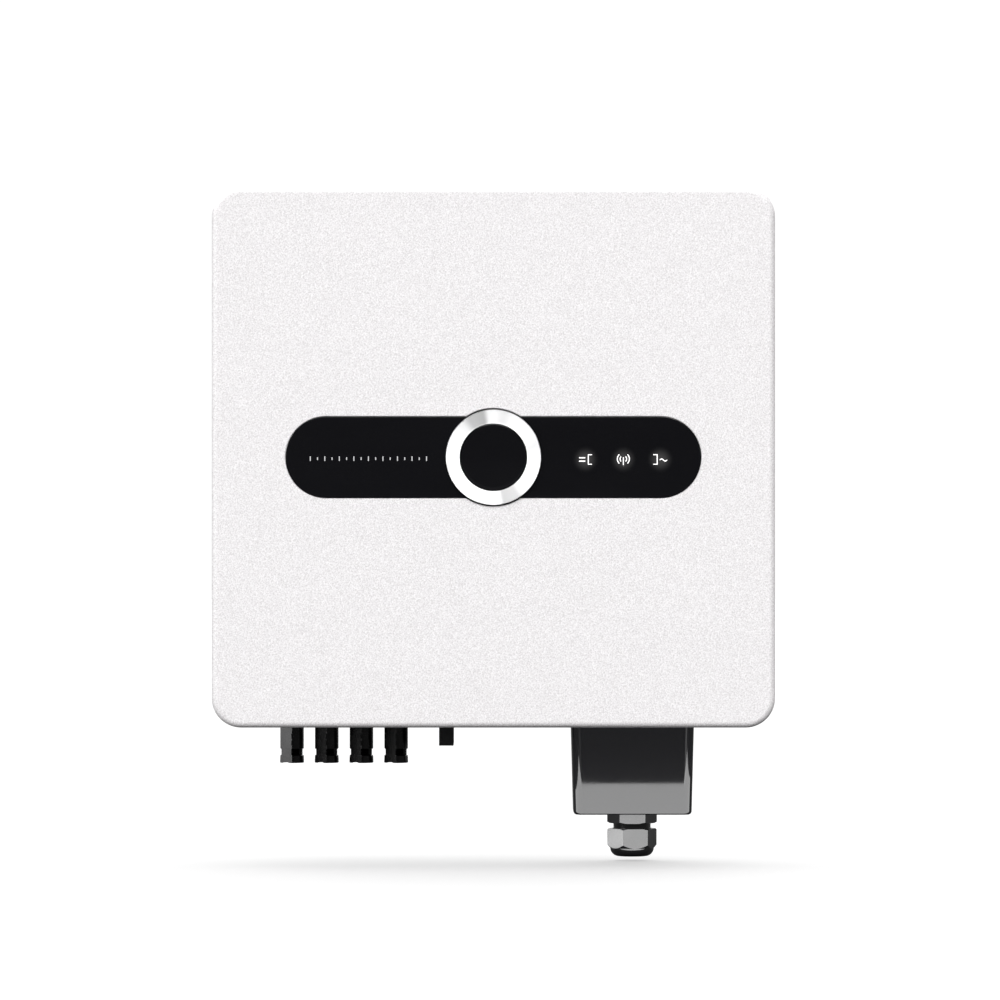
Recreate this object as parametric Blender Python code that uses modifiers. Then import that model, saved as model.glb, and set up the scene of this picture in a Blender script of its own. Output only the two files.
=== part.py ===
"""String inverter: white cast cover with a black display panel, wired from below, hung on a wall bracket.

Metres, +Z up. The origin is the middle of the wall bracket's back face, so the wall is the plane Y = 0.
The front looks towards -Y, and +X is to the right as seen from the front.
"""

from math import asin, cos, pi, radians, sin

import bmesh
import bpy
from mathutils import Matrix, Vector

MM = 0.001
GAP = 0.3 * MM  # between pieces that touch
ROUND_SEGMENTS = 24  # round pieces and holes
SMALL_SEGMENTS = 12  # those under SMALL_RADIUS
SMALL_RADIUS = 5 * MM
FRONT_SEGMENTS = 36  # the ring and button that the front shows
OVERLAP = 1 * MM  # how far shapes that are joined, or a cutter and its piece, run into each other

# Casing, seen from the front
CASE_WIDTH = 420 * MM
CASE_HEIGHT = 403 * MM
CASE_CORNER = 22 * MM
CASE_EDGE_ROUND = 4.5 * MM
CASE_Z = -60 * MM  # its middle, below the middle of the wall bracket
CASE_BOTTOM = CASE_Z - CASE_HEIGHT / 2

# Layers from the wall to the front: the distance of each from the wall plane
FIN_TIPS = 14 * MM
HEATSINK_BACK = 46 * MM
HEATSINK_FRONT = 52 * MM
HOUSING_BACK = HEATSINK_FRONT + GAP
HOUSING_FRONT = 122.7 * MM
GASKET_THICKNESS = 1.5 * MM
COVER_BACK = HOUSING_FRONT + GASKET_THICKNESS + 2 * GAP
CASE_FRONT = 170 * MM

# Cover
COVER_WALL = 3 * MM
COVER_INSIDE = CASE_FRONT - COVER_WALL
COVER_BOSS_RADIUS = 6 * MM
PILOT_RADIUS = 2.1 * MM
FLANGE_INSET = 1.5 * MM

# Rear housing, which the cover's edge overhangs all round
HOUSING_INSET = 9 * MM
HOUSING_WIDTH = CASE_WIDTH - 2 * HOUSING_INSET
HOUSING_HEIGHT = CASE_HEIGHT - 2 * HOUSING_INSET
HOUSING_CORNER = CASE_CORNER - HOUSING_INSET + 3 * MM
HOUSING_EDGE_ROUND = 5 * MM
HOUSING_WALL = 4 * MM
HOUSING_BOTTOM = CASE_BOTTOM + HOUSING_INSET
HOUSING_FLOOR = HOUSING_BOTTOM + HOUSING_WALL
FLANGE_THICKNESS = 4 * MM
SCREW_X = CASE_WIDTH / 2 - CASE_CORNER
SCREW_Z = CASE_HEIGHT / 2 - CASE_CORNER
SCREW_RADIUS = 2.5 * MM

# Heatsink
FIN_COUNT = 21
FIN_THICKNESS = 2.6 * MM
HEATSINK_WIDTH = 360 * MM
HEATSINK_HEIGHT = 350 * MM
MODULE_WIDTH = 130 * MM
MODULE_HEIGHT = 90 * MM
MODULE_WINDOW_GAP = 5 * MM

# Display panel, button and ring in the middle of the front
PANEL_LENGTH = 309.6 * MM
PANEL_HEIGHT = 60.7 * MM
PANEL_DISC_RADIUS = 36.4 * MM
PANEL_THICKNESS = 1.5 * MM
PANEL_PROUD = 0.2 * MM
RING_OUTER = 35.6 * MM
RING_INNER = 25.1 * MM
RING_HEIGHT = 3 * MM
RING_SKIRT_OUTER = 26.8 * MM
RING_SKIRT_LENGTH = 6 * MM
BUTTON_RADIUS = RING_INNER - GAP
BUTTON_RECESS = 0.9 * MM
ICON_X = (68.6 * MM, 96.8 * MM, 124.2 * MM)
ICON_Z = CASE_Z - 1.6 * MM

# Solar connectors, left to right
DC_PITCH = 26.3 * MM
DC_FIRST_X = -152.7 * MM
DC_X = [DC_FIRST_X + i * DC_PITCH for i in range(4)]
PORT_Y = -90 * MM  # the row that every bottom port sits on
DC_RADIUS = 8.9 * MM
DC_BOTTOM = CASE_BOTTOM - 29.4 * MM
DC_BORE = 6.2 * MM
DC_SHANK = 7.9 * MM
DC_FLANGE = 12 * MM
DC_GROOVE_LOW = DC_BOTTOM + 5.8 * MM
DC_GROOVE_HIGH = DC_BOTTOM + 10.7 * MM
DC_GROOVE_DEPTH = 0.9 * MM
SEAL_THICKNESS = 1.2 * MM

# Rotary DC isolator
ISOLATOR_X = -35.6 * MM
HANDLE_BAR_WIDTH = 11 * MM
HANDLE_BAR_BOTTOM = CASE_BOTTOM - 15.7 * MM
HANDLE_DISC_RADIUS = 22 * MM
HANDLE_DISC_THICKNESS = 6 * MM
SHAFT_RADIUS = 3.7 * MM
ISOLATOR_WIDTH = 46 * MM
ISOLATOR_HEIGHT = 50 * MM

# AC wiring box and its cable gland
BOX_X = 105 * MM
BOX_EDGE_WIDTH = 92.8 * MM  # level with the casing's lower edge
BOX_BOTTOM_WIDTH = 89.2 * MM
BOX_DEPTH = 50 * MM
BOX_BOTTOM = CASE_BOTTOM - 67.8 * MM
BOX_SIDE_ROUND = 6.8 * MM
BOX_END_ROUND = 3 * MM
BOX_WALL = 2.5 * MM
BOX_FLANGE_TOP = HOUSING_BOTTOM - SEAL_THICKNESS - 2 * GAP
BOX_LEAN = (BOX_EDGE_WIDTH - BOX_BOTTOM_WIDTH) / (CASE_BOTTOM - BOX_BOTTOM)
BOX_TOP_WIDTH = BOX_BOTTOM_WIDTH + BOX_LEAN * (BOX_FLANGE_TOP - BOX_BOTTOM)
BOX_FLANGE_THICKNESS = 3.5 * MM
BOX_FLANGE_REACH = 11 * MM
GLAND_FLATS = 33 * MM
GLAND_FLANGE_TOP = BOX_BOTTOM - GAP
GLAND_FLANGE_BOTTOM = CASE_BOTTOM - 75 * MM
GLAND_NUT_TOP = CASE_BOTTOM - 79.1 * MM
GLAND_BOTTOM = CASE_BOTTOM - 100.1 * MM
GLAND_NECK_RADIUS = 14.1 * MM
GLAND_THREAD_RADIUS = 12.4 * MM
GLAND_BORE_RADIUS = 10.2 * MM
GLAND_NUT_TURN = radians(7.5)
THREAD_ROOM = 0.9 * MM  # between the neck and the nut, whose threads aren't modelled

# Wall bracket and the hanger that hooks over it
SHEET = 2.5 * MM
BRACKET_WIDTH = 290 * MM
BRACKET_HEIGHT = 100 * MM
BRACKET_LIP_FRONT = 10.5 * MM
BRACKET_LIP_TOP = 63.2 * MM
HANGER_WIDTH = 250 * MM
HANGER_LIP_BOTTOM = 52 * MM
HANGER_LIP_BACK = 4 * MM
SLOT_X = 120 * MM
SLOT_Z = 30 * MM
SLOT_RADIUS = 4 * MM
SLOT_LENGTH = 14 * MM

# Small fittings
VENT_X = 25 * MM
VENT_SHANK = 6 * MM
EARTH_X = 174 * MM
EARTH_SHANK = 2.5 * MM
BOX_SCREW_RADIUS = 2 * MM
BOX_SCREW_X = [
    BOX_X + side * (BOX_TOP_WIDTH / 2 + BOX_FLANGE_REACH / 2 + 1 * MM) for side in (-1, 1)
]

# Places of the display pieces
PANEL_POCKET = PANEL_THICKNESS + GAP - PANEL_PROUD
PANEL_FRONT = CASE_FRONT + PANEL_PROUD
DISPLAY_BOARD_FRONT = 157 * MM
BOARD_THICKNESS = 1.6 * MM
BOARD_POSTS = [(side * 142 * MM, CASE_Z + up * 17 * MM) for side in (-1, 1) for up in (-1, 1)]
BUTTON_FRONT = PANEL_FRONT + GAP + RING_HEIGHT - BUTTON_RECESS
BUTTON_DISC = 2.2 * MM
PLUNGER_FRONT = 162.2 * MM
STEM_RADIUS = 4 * MM
PLUNGER_RADIUS = 3.2 * MM

# Electronics behind the front
MODULE_BACK = HOUSING_BACK + HOUSING_WALL + GAP
MODULE_FRONT = MODULE_BACK + 16 * MM
MAIN_BOARD_BACK = MODULE_FRONT + GAP
MAIN_BOARD_FRONT = MAIN_BOARD_BACK + BOARD_THICKNESS
MAIN_BOARD_BOTTOM = CASE_Z - 128 * MM
MAIN_BOARD_TOP = CASE_Z + 170 * MM

# Isolator shaft and handle
ISOLATOR_HOLE = 6.2 * MM
SHAFT_TOP = HOUSING_FLOOR + 36 * MM
HANDLE_TOP = HOUSING_BOTTOM - GAP
HANDLE_BORE_TOP = HANDLE_TOP - 11 * MM

# Terminal block
TERMINAL_WIDTH = 62 * MM
TERMINAL_DEPTH = 26 * MM
TERMINAL_BOTTOM = HOUSING_BOTTOM - 22 * MM
TERMINAL_TOP = HOUSING_FLOOR + 12 * MM

# Gland details
GLAND_CORNER = GLAND_FLATS / 2 / cos(pi / 6)
THREAD_TOP = BOX_BOTTOM + 9.5 * MM
NECK_BOTTOM = GLAND_NUT_TOP - 7 * MM
SEAL_RECESS_RADIUS = 15.2 * MM
SEAL_RECESS_DEPTH = 0.9 * MM

FACING_FRONT = (pi / 2, 0, 0)  # local Z points to the front, local Y points up
ALONG_X = (pi / 2, 0, pi / 2)  # local Z points to +X, local X points to the wall

parts = bpy.data.collections.new("string_inverter")
cutters = bpy.data.collections.new("cutters")


def clear_scene():
    for obj in list(bpy.data.objects):
        bpy.data.objects.remove(obj, do_unlink=True)
    bpy.context.scene.collection.children.link(parts)
    bpy.context.scene.collection.children.link(cutters)


def material(name, colour, roughness, metallic=0.0):
    made = bpy.data.materials.new(name)
    made.use_nodes = True
    shader = made.node_tree.nodes["Principled BSDF"]
    shader.inputs["Base Color"].default_value = (*colour, 1)
    shader.inputs["Roughness"].default_value = roughness
    shader.inputs["Metallic"].default_value = metallic
    made.diffuse_color = (*colour, 1)
    return made


# Objects


def add_object(name, data, location=(0, 0, 0), rotation=(0, 0, 0)):
    obj = bpy.data.objects.new(name, data)
    obj.location = location
    obj.rotation_euler = rotation
    parts.objects.link(obj)
    return obj


def finish(obj, look):
    """Gives the object its material and smooth shading that keeps its sharp edges."""
    obj.data.materials.append(look)
    if obj.type == "MESH":
        obj.data.shade_smooth()
        obj.data.set_sharp_from_angle(angle=radians(30))
    return obj


def mesh_object(name, bm, location=(0, 0, 0), rotation=(0, 0, 0)):
    mesh = bpy.data.meshes.new(name)
    bm.to_mesh(mesh)
    bm.free()
    return add_object(name, mesh, location, rotation)


def as_mesh(obj):
    """The curve object's shape as a mesh object in the same place, which a Boolean can work on."""
    bpy.context.view_layer.update()
    evaluated = obj.evaluated_get(bpy.context.evaluated_depsgraph_get())
    mesh = bpy.data.meshes.new_from_object(evaluated)
    bm = bmesh.new()
    bm.from_mesh(mesh)
    bmesh.ops.remove_doubles(bm, verts=bm.verts, dist=1e-6)
    bmesh.ops.dissolve_limit(bm, angle_limit=radians(0.5), verts=bm.verts, edges=bm.edges)
    bm.to_mesh(mesh)
    bm.free()
    name = obj.name
    place = obj.matrix_world.copy()
    bpy.data.objects.remove(obj, do_unlink=True)
    made = add_object(name, mesh)
    made.matrix_world = place
    return made


def combine(target, other, operation="DIFFERENCE", solver="EXACT"):
    """Cuts the other object from the target, or joins it on, and puts it away with the cutters."""
    modifier = target.modifiers.new(f"{operation.lower()} {other.name}", "BOOLEAN")
    modifier.operation = operation
    modifier.solver = solver
    modifier.object = other
    other.hide_render = True
    other.display_type = "WIRE"
    parts.objects.unlink(other)
    cutters.objects.link(other)


# Shapes


def box(name, low, high):
    """A block between two corners."""
    low, high = Vector(low), Vector(high)
    bm = bmesh.new()
    bmesh.ops.create_cube(bm, size=1, matrix=Matrix.Diagonal((*(high - low), 1)))
    return mesh_object(name, bm, (low + high) / 2)


def block(name, x, front, back, low, high, width):
    """A block centred on x, between two distances from the wall and two heights."""
    return box(name, (x - width / 2, -front, low), (x + width / 2, -back, high))


def prism(name, sides, radius, height, location, rotation=(0, 0, 0)):
    """A bar with regular sides whose corners lie at this radius. Its axis is local Z, from 0 to height."""
    bm = bmesh.new()
    lift = Matrix.Translation((0, 0, height / 2))
    bmesh.ops.create_cone(
        bm, cap_ends=True, segments=sides, radius1=radius, radius2=radius, depth=height, matrix=lift
    )
    return mesh_object(name, bm, location, rotation)


def cylinder(name, radius, height, location, rotation=(0, 0, 0)):
    sides = SMALL_SEGMENTS if radius < SMALL_RADIUS else ROUND_SEGMENTS
    return prism(name, sides, radius, height, location, rotation)


def turned(name, profile, location, rotation=(0, 0, 0), steps=ROUND_SEGMENTS, closed=True):
    """A body of revolution about local Z. The profile is (radius, height) pairs, outer side first, downwards."""
    mesh = bpy.data.meshes.new(name)
    points = [(radius, 0, height) for radius, height in profile]
    edges = [(i, i + 1) for i in range(len(points) - 1)]
    if closed:
        edges.append((len(points) - 1, 0))
    mesh.from_pydata(points, edges, [])
    obj = add_object(name, mesh, location, rotation)
    screw = obj.modifiers.new("turn", "SCREW")
    screw.steps = steps
    screw.render_steps = steps
    screw.use_merge_vertices = True
    screw.merge_threshold = 1e-5
    return obj


def arc(centre, radius, start, end, steps):
    """Points on an arc, both ends included; angles in radians."""
    angles = [start + (end - start) * i / steps for i in range(steps + 1)]
    return [(centre[0] + radius * cos(a), centre[1] + radius * sin(a)) for a in angles]


def rounded_rectangle(width, height, radius, steps=5, centre=(0, 0)):
    outline = []
    for turn, (side, up) in enumerate(((1, 1), (-1, 1), (-1, -1), (1, -1))):
        corner = (centre[0] + side * (width / 2 - radius), centre[1] + up * (height / 2 - radius))
        outline += arc(corner, radius, turn * pi / 2, (turn + 1) * pi / 2, steps)
    return outline


def circle(radius, centre=(0, 0), steps=ROUND_SEGMENTS):
    return arc(centre, radius, 0, 2 * pi, steps)[:-1]


def slot(x, z, length, radius, steps=6):
    """A level slot with round ends."""
    reach = length / 2 - radius
    right = arc((x + reach, z), radius, -pi / 2, pi / 2, steps)
    return right + arc((x - reach, z), radius, pi / 2, 3 * pi / 2, steps)


def panel_outline(grow):
    """The display panel: a bar with round ends, and in its middle a disc that stands out above and below."""
    half = PANEL_HEIGHT / 2 + grow
    disc = PANEL_DISC_RADIUS + grow
    end = PANEL_LENGTH / 2 - PANEL_HEIGHT / 2
    meet = asin(half / disc)  # the angle at which the disc crosses the bar's straight edges
    outline = arc((end, 0), half, -pi / 2, pi / 2, 12)
    outline += arc((0, 0), disc, meet, pi - meet, 8)
    outline += arc((-end, 0), half, pi / 2, 3 * pi / 2, 12)
    outline += arc((0, 0), disc, pi + meet, 2 * pi - meet, 8)
    return outline


def sheet(name, outlines, thickness, location, rotation=(0, 0, 0)):
    """A flat piece in local XY, from 0 to thickness along local Z. The outlines after the first are holes."""
    curve = bpy.data.curves.new(name, "CURVE")
    curve.dimensions = "2D"
    curve.fill_mode = "BOTH"
    curve.extrude = thickness / 2
    for outline in outlines:
        spline = curve.splines.new("POLY")
        spline.points.add(len(outline) - 1)
        spline.use_cyclic_u = True
        for point, (x, y) in zip(spline.points, outline):
            point.co = (x, y, 0, 1)
    obj = add_object(name, curve, location, rotation)
    bpy.context.view_layer.update()
    obj.location = obj.matrix_world @ Vector((0, 0, thickness / 2))
    return obj


def open_box(name, low, high, open_side, side_round, end_round, wall, narrow=1.0):
    """A tray: a block with one side open, its other edges rounded. open_side is an axis and a sign.

    The edges that run to the open side are rounded by side_round, and those of the closed end by end_round.
    The closed end's first level axis is narrowed by a factor.
    """
    axis, sign = open_side
    low, high = Vector(low), Vector(high)
    bm = bmesh.new()
    bmesh.ops.create_cube(bm, size=1, matrix=Matrix.Diagonal((*(high - low), 1)))
    bmesh.ops.delete(
        bm, geom=[f for f in bm.faces if f.normal[axis] * sign > 0.5], context="FACES_ONLY"
    )
    for vert in bm.verts:
        if vert.co[axis] * sign < 0:
            vert.co.x *= narrow
    along = [e for e in bm.edges if e.verts[0].co[axis] * e.verts[1].co[axis] < 0]
    bmesh.ops.bevel(
        bm, geom=along, offset=side_round, segments=5, profile=0.5, affect="EDGES", clamp_overlap=True
    )
    end = (high[axis] - low[axis]) / 2
    rim = [e for e in bm.edges if all(v.co[axis] * sign < -end + 1e-5 for v in e.verts)]
    bmesh.ops.bevel(
        bm, geom=rim, offset=end_round, segments=3, profile=0.5, affect="EDGES", clamp_overlap=True
    )
    bmesh.ops.recalc_face_normals(bm, faces=bm.faces)
    obj = mesh_object(name, bm, (low + high) / 2)
    solidify = obj.modifiers.new("wall", "SOLIDIFY")
    solidify.thickness = wall
    solidify.offset = -1
    solidify.use_even_offset = True
    return obj


def at_corners():
    return [(side * SCREW_X, CASE_Z + up * SCREW_Z) for side in (-1, 1) for up in (-1, 1)]


# Wall bracket and hanger


def profile_along_x(name, outline, width):
    """A bent sheet: an outline of (distance from the wall, height) points, drawn out along X."""
    points = [(-out, up) for out, up in outline]
    return as_mesh(sheet(name, [points], width, (-width / 2, 0, 0), ALONG_X))


def make_wall_bracket(look):
    bottom, top = -BRACKET_HEIGHT / 2, BRACKET_HEIGHT / 2
    bracket = profile_along_x(
        "wall_bracket",
        [
            (0, bottom),
            (SHEET, bottom),
            (SHEET, top - SHEET),
            (BRACKET_LIP_FRONT, top - SHEET),
            (BRACKET_LIP_FRONT, BRACKET_LIP_TOP),
            (BRACKET_LIP_FRONT - SHEET, BRACKET_LIP_TOP),
            (BRACKET_LIP_FRONT - SHEET, top),
            (0, top),
        ],
        BRACKET_WIDTH,
    )
    for i, (x, z) in enumerate([(x, z) for x in (-SLOT_X, SLOT_X) for z in (-SLOT_Z, SLOT_Z)]):
        hole = sheet(
            f"bracket_slot_{i}",
            [slot(x, z, SLOT_LENGTH, SLOT_RADIUS)],
            SHEET + 2 * OVERLAP,
            (0, OVERLAP, 0),
            FACING_FRONT,
        )
        combine(bracket, as_mesh(hole))
    return finish(bracket, look)


def make_hanger_plate(look):
    front = FIN_TIPS - GAP
    back = front - SHEET
    bottom = -BRACKET_HEIGHT / 2 + 5 * MM
    top = BRACKET_LIP_TOP + GAP + SHEET
    hanger = profile_along_x(
        "hanger_plate",
        [
            (front, bottom),
            (front, top),
            (HANGER_LIP_BACK, top),
            (HANGER_LIP_BACK, HANGER_LIP_BOTTOM),
            (HANGER_LIP_BACK + SHEET, HANGER_LIP_BOTTOM),
            (HANGER_LIP_BACK + SHEET, top - SHEET),
            (back, top - SHEET),
            (back, bottom + SHEET),
            (SHEET + GAP, bottom + SHEET),
            (SHEET + GAP, bottom),
        ],
        HANGER_WIDTH,
    )
    return finish(hanger, look)


# Casing


def make_heatsink(look):
    pitch = (HEATSINK_WIDTH - FIN_THICKNESS) / (FIN_COUNT - 1)
    left = -HEATSINK_WIDTH / 2
    outline = [(left, -HEATSINK_FRONT), (left + HEATSINK_WIDTH, -HEATSINK_FRONT)]
    for i in reversed(range(FIN_COUNT)):
        fin = left + i * pitch
        outline += [
            (fin + FIN_THICKNESS, -HEATSINK_BACK),
            (fin + FIN_THICKNESS, -FIN_TIPS),
            (fin, -FIN_TIPS),
            (fin, -HEATSINK_BACK),
        ]
    # The end fins run straight on from the base plate's sides.
    del outline[2], outline[-1]
    heatsink = as_mesh(
        sheet("heatsink", [outline], HEATSINK_HEIGHT, (0, 0, CASE_Z - HEATSINK_HEIGHT / 2))
    )
    pedestal = block(
        "module_pedestal",
        0,
        HOUSING_BACK + HOUSING_WALL,
        HEATSINK_FRONT - OVERLAP,
        CASE_Z - MODULE_HEIGHT / 2,
        CASE_Z + MODULE_HEIGHT / 2,
        MODULE_WIDTH,
    )
    combine(heatsink, pedestal, "UNION")
    return finish(heatsink, look)


def bottom_hole(name, x, radius):
    return cylinder(
        name, radius, HOUSING_WALL + 2 * OVERLAP, (x, PORT_Y, HOUSING_BOTTOM - OVERLAP)
    )


def make_rear_housing(look):
    half_width, half_height = HOUSING_WIDTH / 2, HOUSING_HEIGHT / 2
    housing = open_box(
        "rear_housing",
        (-half_width, -HOUSING_FRONT, CASE_Z - half_height),
        (half_width, -HOUSING_BACK, CASE_Z + half_height),
        (1, -1),
        HOUSING_CORNER,
        HOUSING_EDGE_ROUND,
        HOUSING_WALL,
    )
    flange = sheet(
        "housing_flange",
        [
            rounded_rectangle(
                CASE_WIDTH - 2 * FLANGE_INSET, CASE_HEIGHT - 2 * FLANGE_INSET, CASE_CORNER - FLANGE_INSET
            ),
            rounded_rectangle(
                HOUSING_WIDTH - HOUSING_WALL, HOUSING_HEIGHT - HOUSING_WALL, HOUSING_CORNER - HOUSING_WALL / 2
            ),
        ],
        FLANGE_THICKNESS,
        (0, -HOUSING_FRONT + FLANGE_THICKNESS, CASE_Z),
        FACING_FRONT,
    )
    combine(housing, as_mesh(flange), "UNION")
    column_length = HOUSING_FRONT - HOUSING_BACK - HOUSING_WALL / 2
    for i, (x, z) in enumerate(at_corners()):
        start = -HOUSING_BACK - HOUSING_WALL / 2
        column = cylinder(
            f"housing_column_{i}", COVER_BOSS_RADIUS, column_length, (x, start, z), FACING_FRONT
        )
        combine(housing, column, "UNION")
    for i, (x, z) in enumerate(at_corners()):
        hole = cylinder(
            f"housing_screw_hole_{i}",
            SCREW_RADIUS + GAP,
            HOUSING_FRONT - HOUSING_BACK + 2 * OVERLAP,
            (x, -HOUSING_BACK + OVERLAP, z),
            FACING_FRONT,
        )
        combine(housing, hole)
    window = block(
        "module_window",
        0,
        HOUSING_BACK + HOUSING_WALL + OVERLAP,
        HOUSING_BACK - OVERLAP,
        CASE_Z - MODULE_HEIGHT / 2 - MODULE_WINDOW_GAP,
        CASE_Z + MODULE_HEIGHT / 2 + MODULE_WINDOW_GAP,
        MODULE_WIDTH + 2 * MODULE_WINDOW_GAP,
    )
    combine(housing, window)
    for i, x in enumerate(DC_X):
        combine(housing, bottom_hole(f"dc_hole_{i}", x, DC_SHANK + GAP))
    combine(housing, bottom_hole("isolator_hole", ISOLATOR_X, ISOLATOR_HOLE))
    combine(housing, bottom_hole("vent_hole", VENT_X, VENT_SHANK + GAP))
    combine(housing, bottom_hole("earth_hole", EARTH_X, EARTH_SHANK + GAP))
    for i, x in enumerate(BOX_SCREW_X):
        combine(housing, bottom_hole(f"box_screw_hole_{i}", x, BOX_SCREW_RADIUS + GAP))
    wiring_opening = box(
        "wiring_opening",
        (BOX_X - TERMINAL_WIDTH / 2 - 2 * MM, PORT_Y - TERMINAL_DEPTH / 2 - 2 * MM, HOUSING_BOTTOM - OVERLAP),
        (BOX_X + TERMINAL_WIDTH / 2 + 2 * MM, PORT_Y + TERMINAL_DEPTH / 2 + 2 * MM, HOUSING_FLOOR + OVERLAP),
    )
    combine(housing, wiring_opening)
    return finish(housing, look)


def make_cover_gasket(look):
    inset = FLANGE_INSET + 0.5 * MM
    gasket = sheet(
        "cover_gasket",
        [
            rounded_rectangle(CASE_WIDTH - 2 * inset, CASE_HEIGHT - 2 * inset, CASE_CORNER - inset),
            rounded_rectangle(HOUSING_WIDTH, HOUSING_HEIGHT, HOUSING_CORNER),
        ],
        GASKET_THICKNESS,
        (0, -HOUSING_FRONT - GAP, CASE_Z),
        FACING_FRONT,
    )
    return finish(gasket, look)


def make_front_cover(look):
    half_width, half_height = CASE_WIDTH / 2, CASE_HEIGHT / 2
    cover = open_box(
        "front_cover",
        (-half_width, -CASE_FRONT, CASE_Z - half_height),
        (half_width, -COVER_BACK, CASE_Z + half_height),
        (1, 1),
        CASE_CORNER,
        CASE_EDGE_ROUND,
        COVER_WALL,
    )
    for i, (x, z) in enumerate(at_corners()):
        place = (x, -COVER_BACK, z)
        length = COVER_INSIDE - COVER_BACK
        boss = cylinder(
            f"cover_boss_{i}", COVER_BOSS_RADIUS, length + OVERLAP, place, FACING_FRONT
        )
        combine(cover, boss, "UNION")
        start = (x, -COVER_BACK + OVERLAP, z)
        combine(cover, cylinder(f"cover_pilot_{i}", PILOT_RADIUS, length / 2, start, FACING_FRONT))
    for i, (x, z) in enumerate(BOARD_POSTS):
        start = -DISPLAY_BOARD_FRONT - GAP
        post = cylinder(
            f"board_post_{i}", 3 * MM, COVER_INSIDE + OVERLAP + start, (x, start, z), FACING_FRONT
        )
        combine(cover, post, "UNION")
    pocket = sheet(
        "panel_pocket",
        [panel_outline(GAP)],
        PANEL_POCKET + OVERLAP,
        (0, -CASE_FRONT + PANEL_POCKET, CASE_Z),
        FACING_FRONT,
    )
    # The pocket's long straight edges defeat the exact solver.
    combine(cover, as_mesh(pocket), solver="MANIFOLD")
    hole = cylinder(
        "ring_hole",
        RING_SKIRT_OUTER + 2 * GAP,
        COVER_WALL + 2 * OVERLAP,
        (0, -COVER_INSIDE + OVERLAP, CASE_Z),
        FACING_FRONT,
    )
    combine(cover, hole)
    margin = 8 * MM
    window = box(
        "icon_window",
        (ICON_X[0] - margin, -CASE_FRONT - OVERLAP, ICON_Z - margin),
        (ICON_X[-1] + margin, -COVER_INSIDE + OVERLAP, ICON_Z + margin),
    )
    combine(cover, window)
    return finish(cover, look)


# Screws and plugs that close the casing


def make_screw(name, place, rotation, head_radius, head_height, radius, length, look):
    """A socket-head screw: local Z runs from the head's seat along the shank."""
    socket = head_radius * 0.5
    depth = head_height * 0.5
    profile = [
        (radius, length),
        (radius, 0),
        (head_radius, 0),
        (head_radius, -head_height),
        (socket, -head_height),
        (socket, -head_height + depth),
        (0, -head_height + depth),
    ]
    screw = turned(name, [(0, length), *profile], place, rotation, steps=SMALL_SEGMENTS, closed=False)
    return finish(screw, look)


def make_cover_screws(look):
    for i, (x, z) in enumerate(at_corners(), start=1):
        place = (x, -HOUSING_BACK + GAP, z)
        length = HOUSING_FRONT - HOUSING_BACK + GAP
        make_screw(f"cover_screw_{i}", place, FACING_FRONT, 4.5 * MM, 4 * MM, SCREW_RADIUS, length, look)


def make_bottom_plugs(metal, plastic):
    under = HOUSING_BOTTOM - GAP
    inside = HOUSING_WALL + 3 * MM
    vent = turned(
        "vent_plug",
        [
            (0, inside),
            (VENT_SHANK, inside),
            (VENT_SHANK, 0),
            (8.5 * MM, 0),
            (8.5 * MM, -4 * MM),
            (7.5 * MM, -5 * MM),
            (2 * MM, -5 * MM),
            (2 * MM, -2 * MM),
            (0, -2 * MM),
        ],
        (VENT_X, PORT_Y, under),
        steps=SMALL_SEGMENTS,
        closed=False,
    )
    finish(vent, plastic)
    make_screw(
        "earth_screw", (EARTH_X, PORT_Y, under), (0, 0, 0), 5 * MM, 4 * MM, EARTH_SHANK, inside, metal
    )
    for i, x in enumerate(BOX_SCREW_X, start=1):
        seat = BOX_FLANGE_TOP - BOX_FLANGE_THICKNESS - GAP
        make_screw(
            f"wiring_box_screw_{i}",
            (x, PORT_Y, seat),
            (0, 0, 0),
            3.8 * MM,
            2.2 * MM,
            BOX_SCREW_RADIUS,
            14 * MM,
            metal,
        )


# Display panel, ring and button


def make_display_panel(look):
    panel = sheet(
        "display_panel",
        [panel_outline(0), circle(RING_SKIRT_OUTER + GAP, steps=FRONT_SEGMENTS)],
        PANEL_THICKNESS,
        (0, -PANEL_FRONT + PANEL_THICKNESS, CASE_Z),
        FACING_FRONT,
    )
    return finish(panel, look)


def make_chrome_ring(look):
    """The ring's face slopes gently down to its outer edge, and its skirt passes through the panel."""
    edge = 0.6 * MM
    outer_height = RING_HEIGHT - 1.2 * MM
    ring = turned(
        "chrome_ring",
        [
            (RING_INNER + edge, RING_HEIGHT),
            (RING_OUTER - edge, outer_height),
            (RING_OUTER, outer_height - edge),
            (RING_OUTER, 0),
            (RING_SKIRT_OUTER, 0),
            (RING_SKIRT_OUTER, -RING_SKIRT_LENGTH),
            (RING_INNER, -RING_SKIRT_LENGTH),
            (RING_INNER, RING_HEIGHT - edge),
        ],
        (0, -PANEL_FRONT - GAP, CASE_Z),
        FACING_FRONT,
        steps=FRONT_SEGMENTS,
    )
    return finish(ring, look)


def make_button(look, plunger_look):
    edge = 0.4 * MM
    stem_end = -(BUTTON_FRONT - PLUNGER_FRONT - GAP)
    button = turned(
        "centre_button",
        [
            (0, 0),
            (BUTTON_RADIUS - edge, 0),
            (BUTTON_RADIUS, -edge),
            (BUTTON_RADIUS, -BUTTON_DISC),
            (STEM_RADIUS, -BUTTON_DISC),
            (STEM_RADIUS, stem_end),
            (0, stem_end),
        ],
        (0, -BUTTON_FRONT, CASE_Z),
        FACING_FRONT,
        steps=FRONT_SEGMENTS,
        closed=False,
    )
    finish(button, look)
    plunger = cylinder(
        "button_plunger", PLUNGER_RADIUS, 2.6 * MM, (0, -PLUNGER_FRONT + 2.6 * MM, CASE_Z), FACING_FRONT
    )
    finish(plunger, plunger_look)


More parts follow.
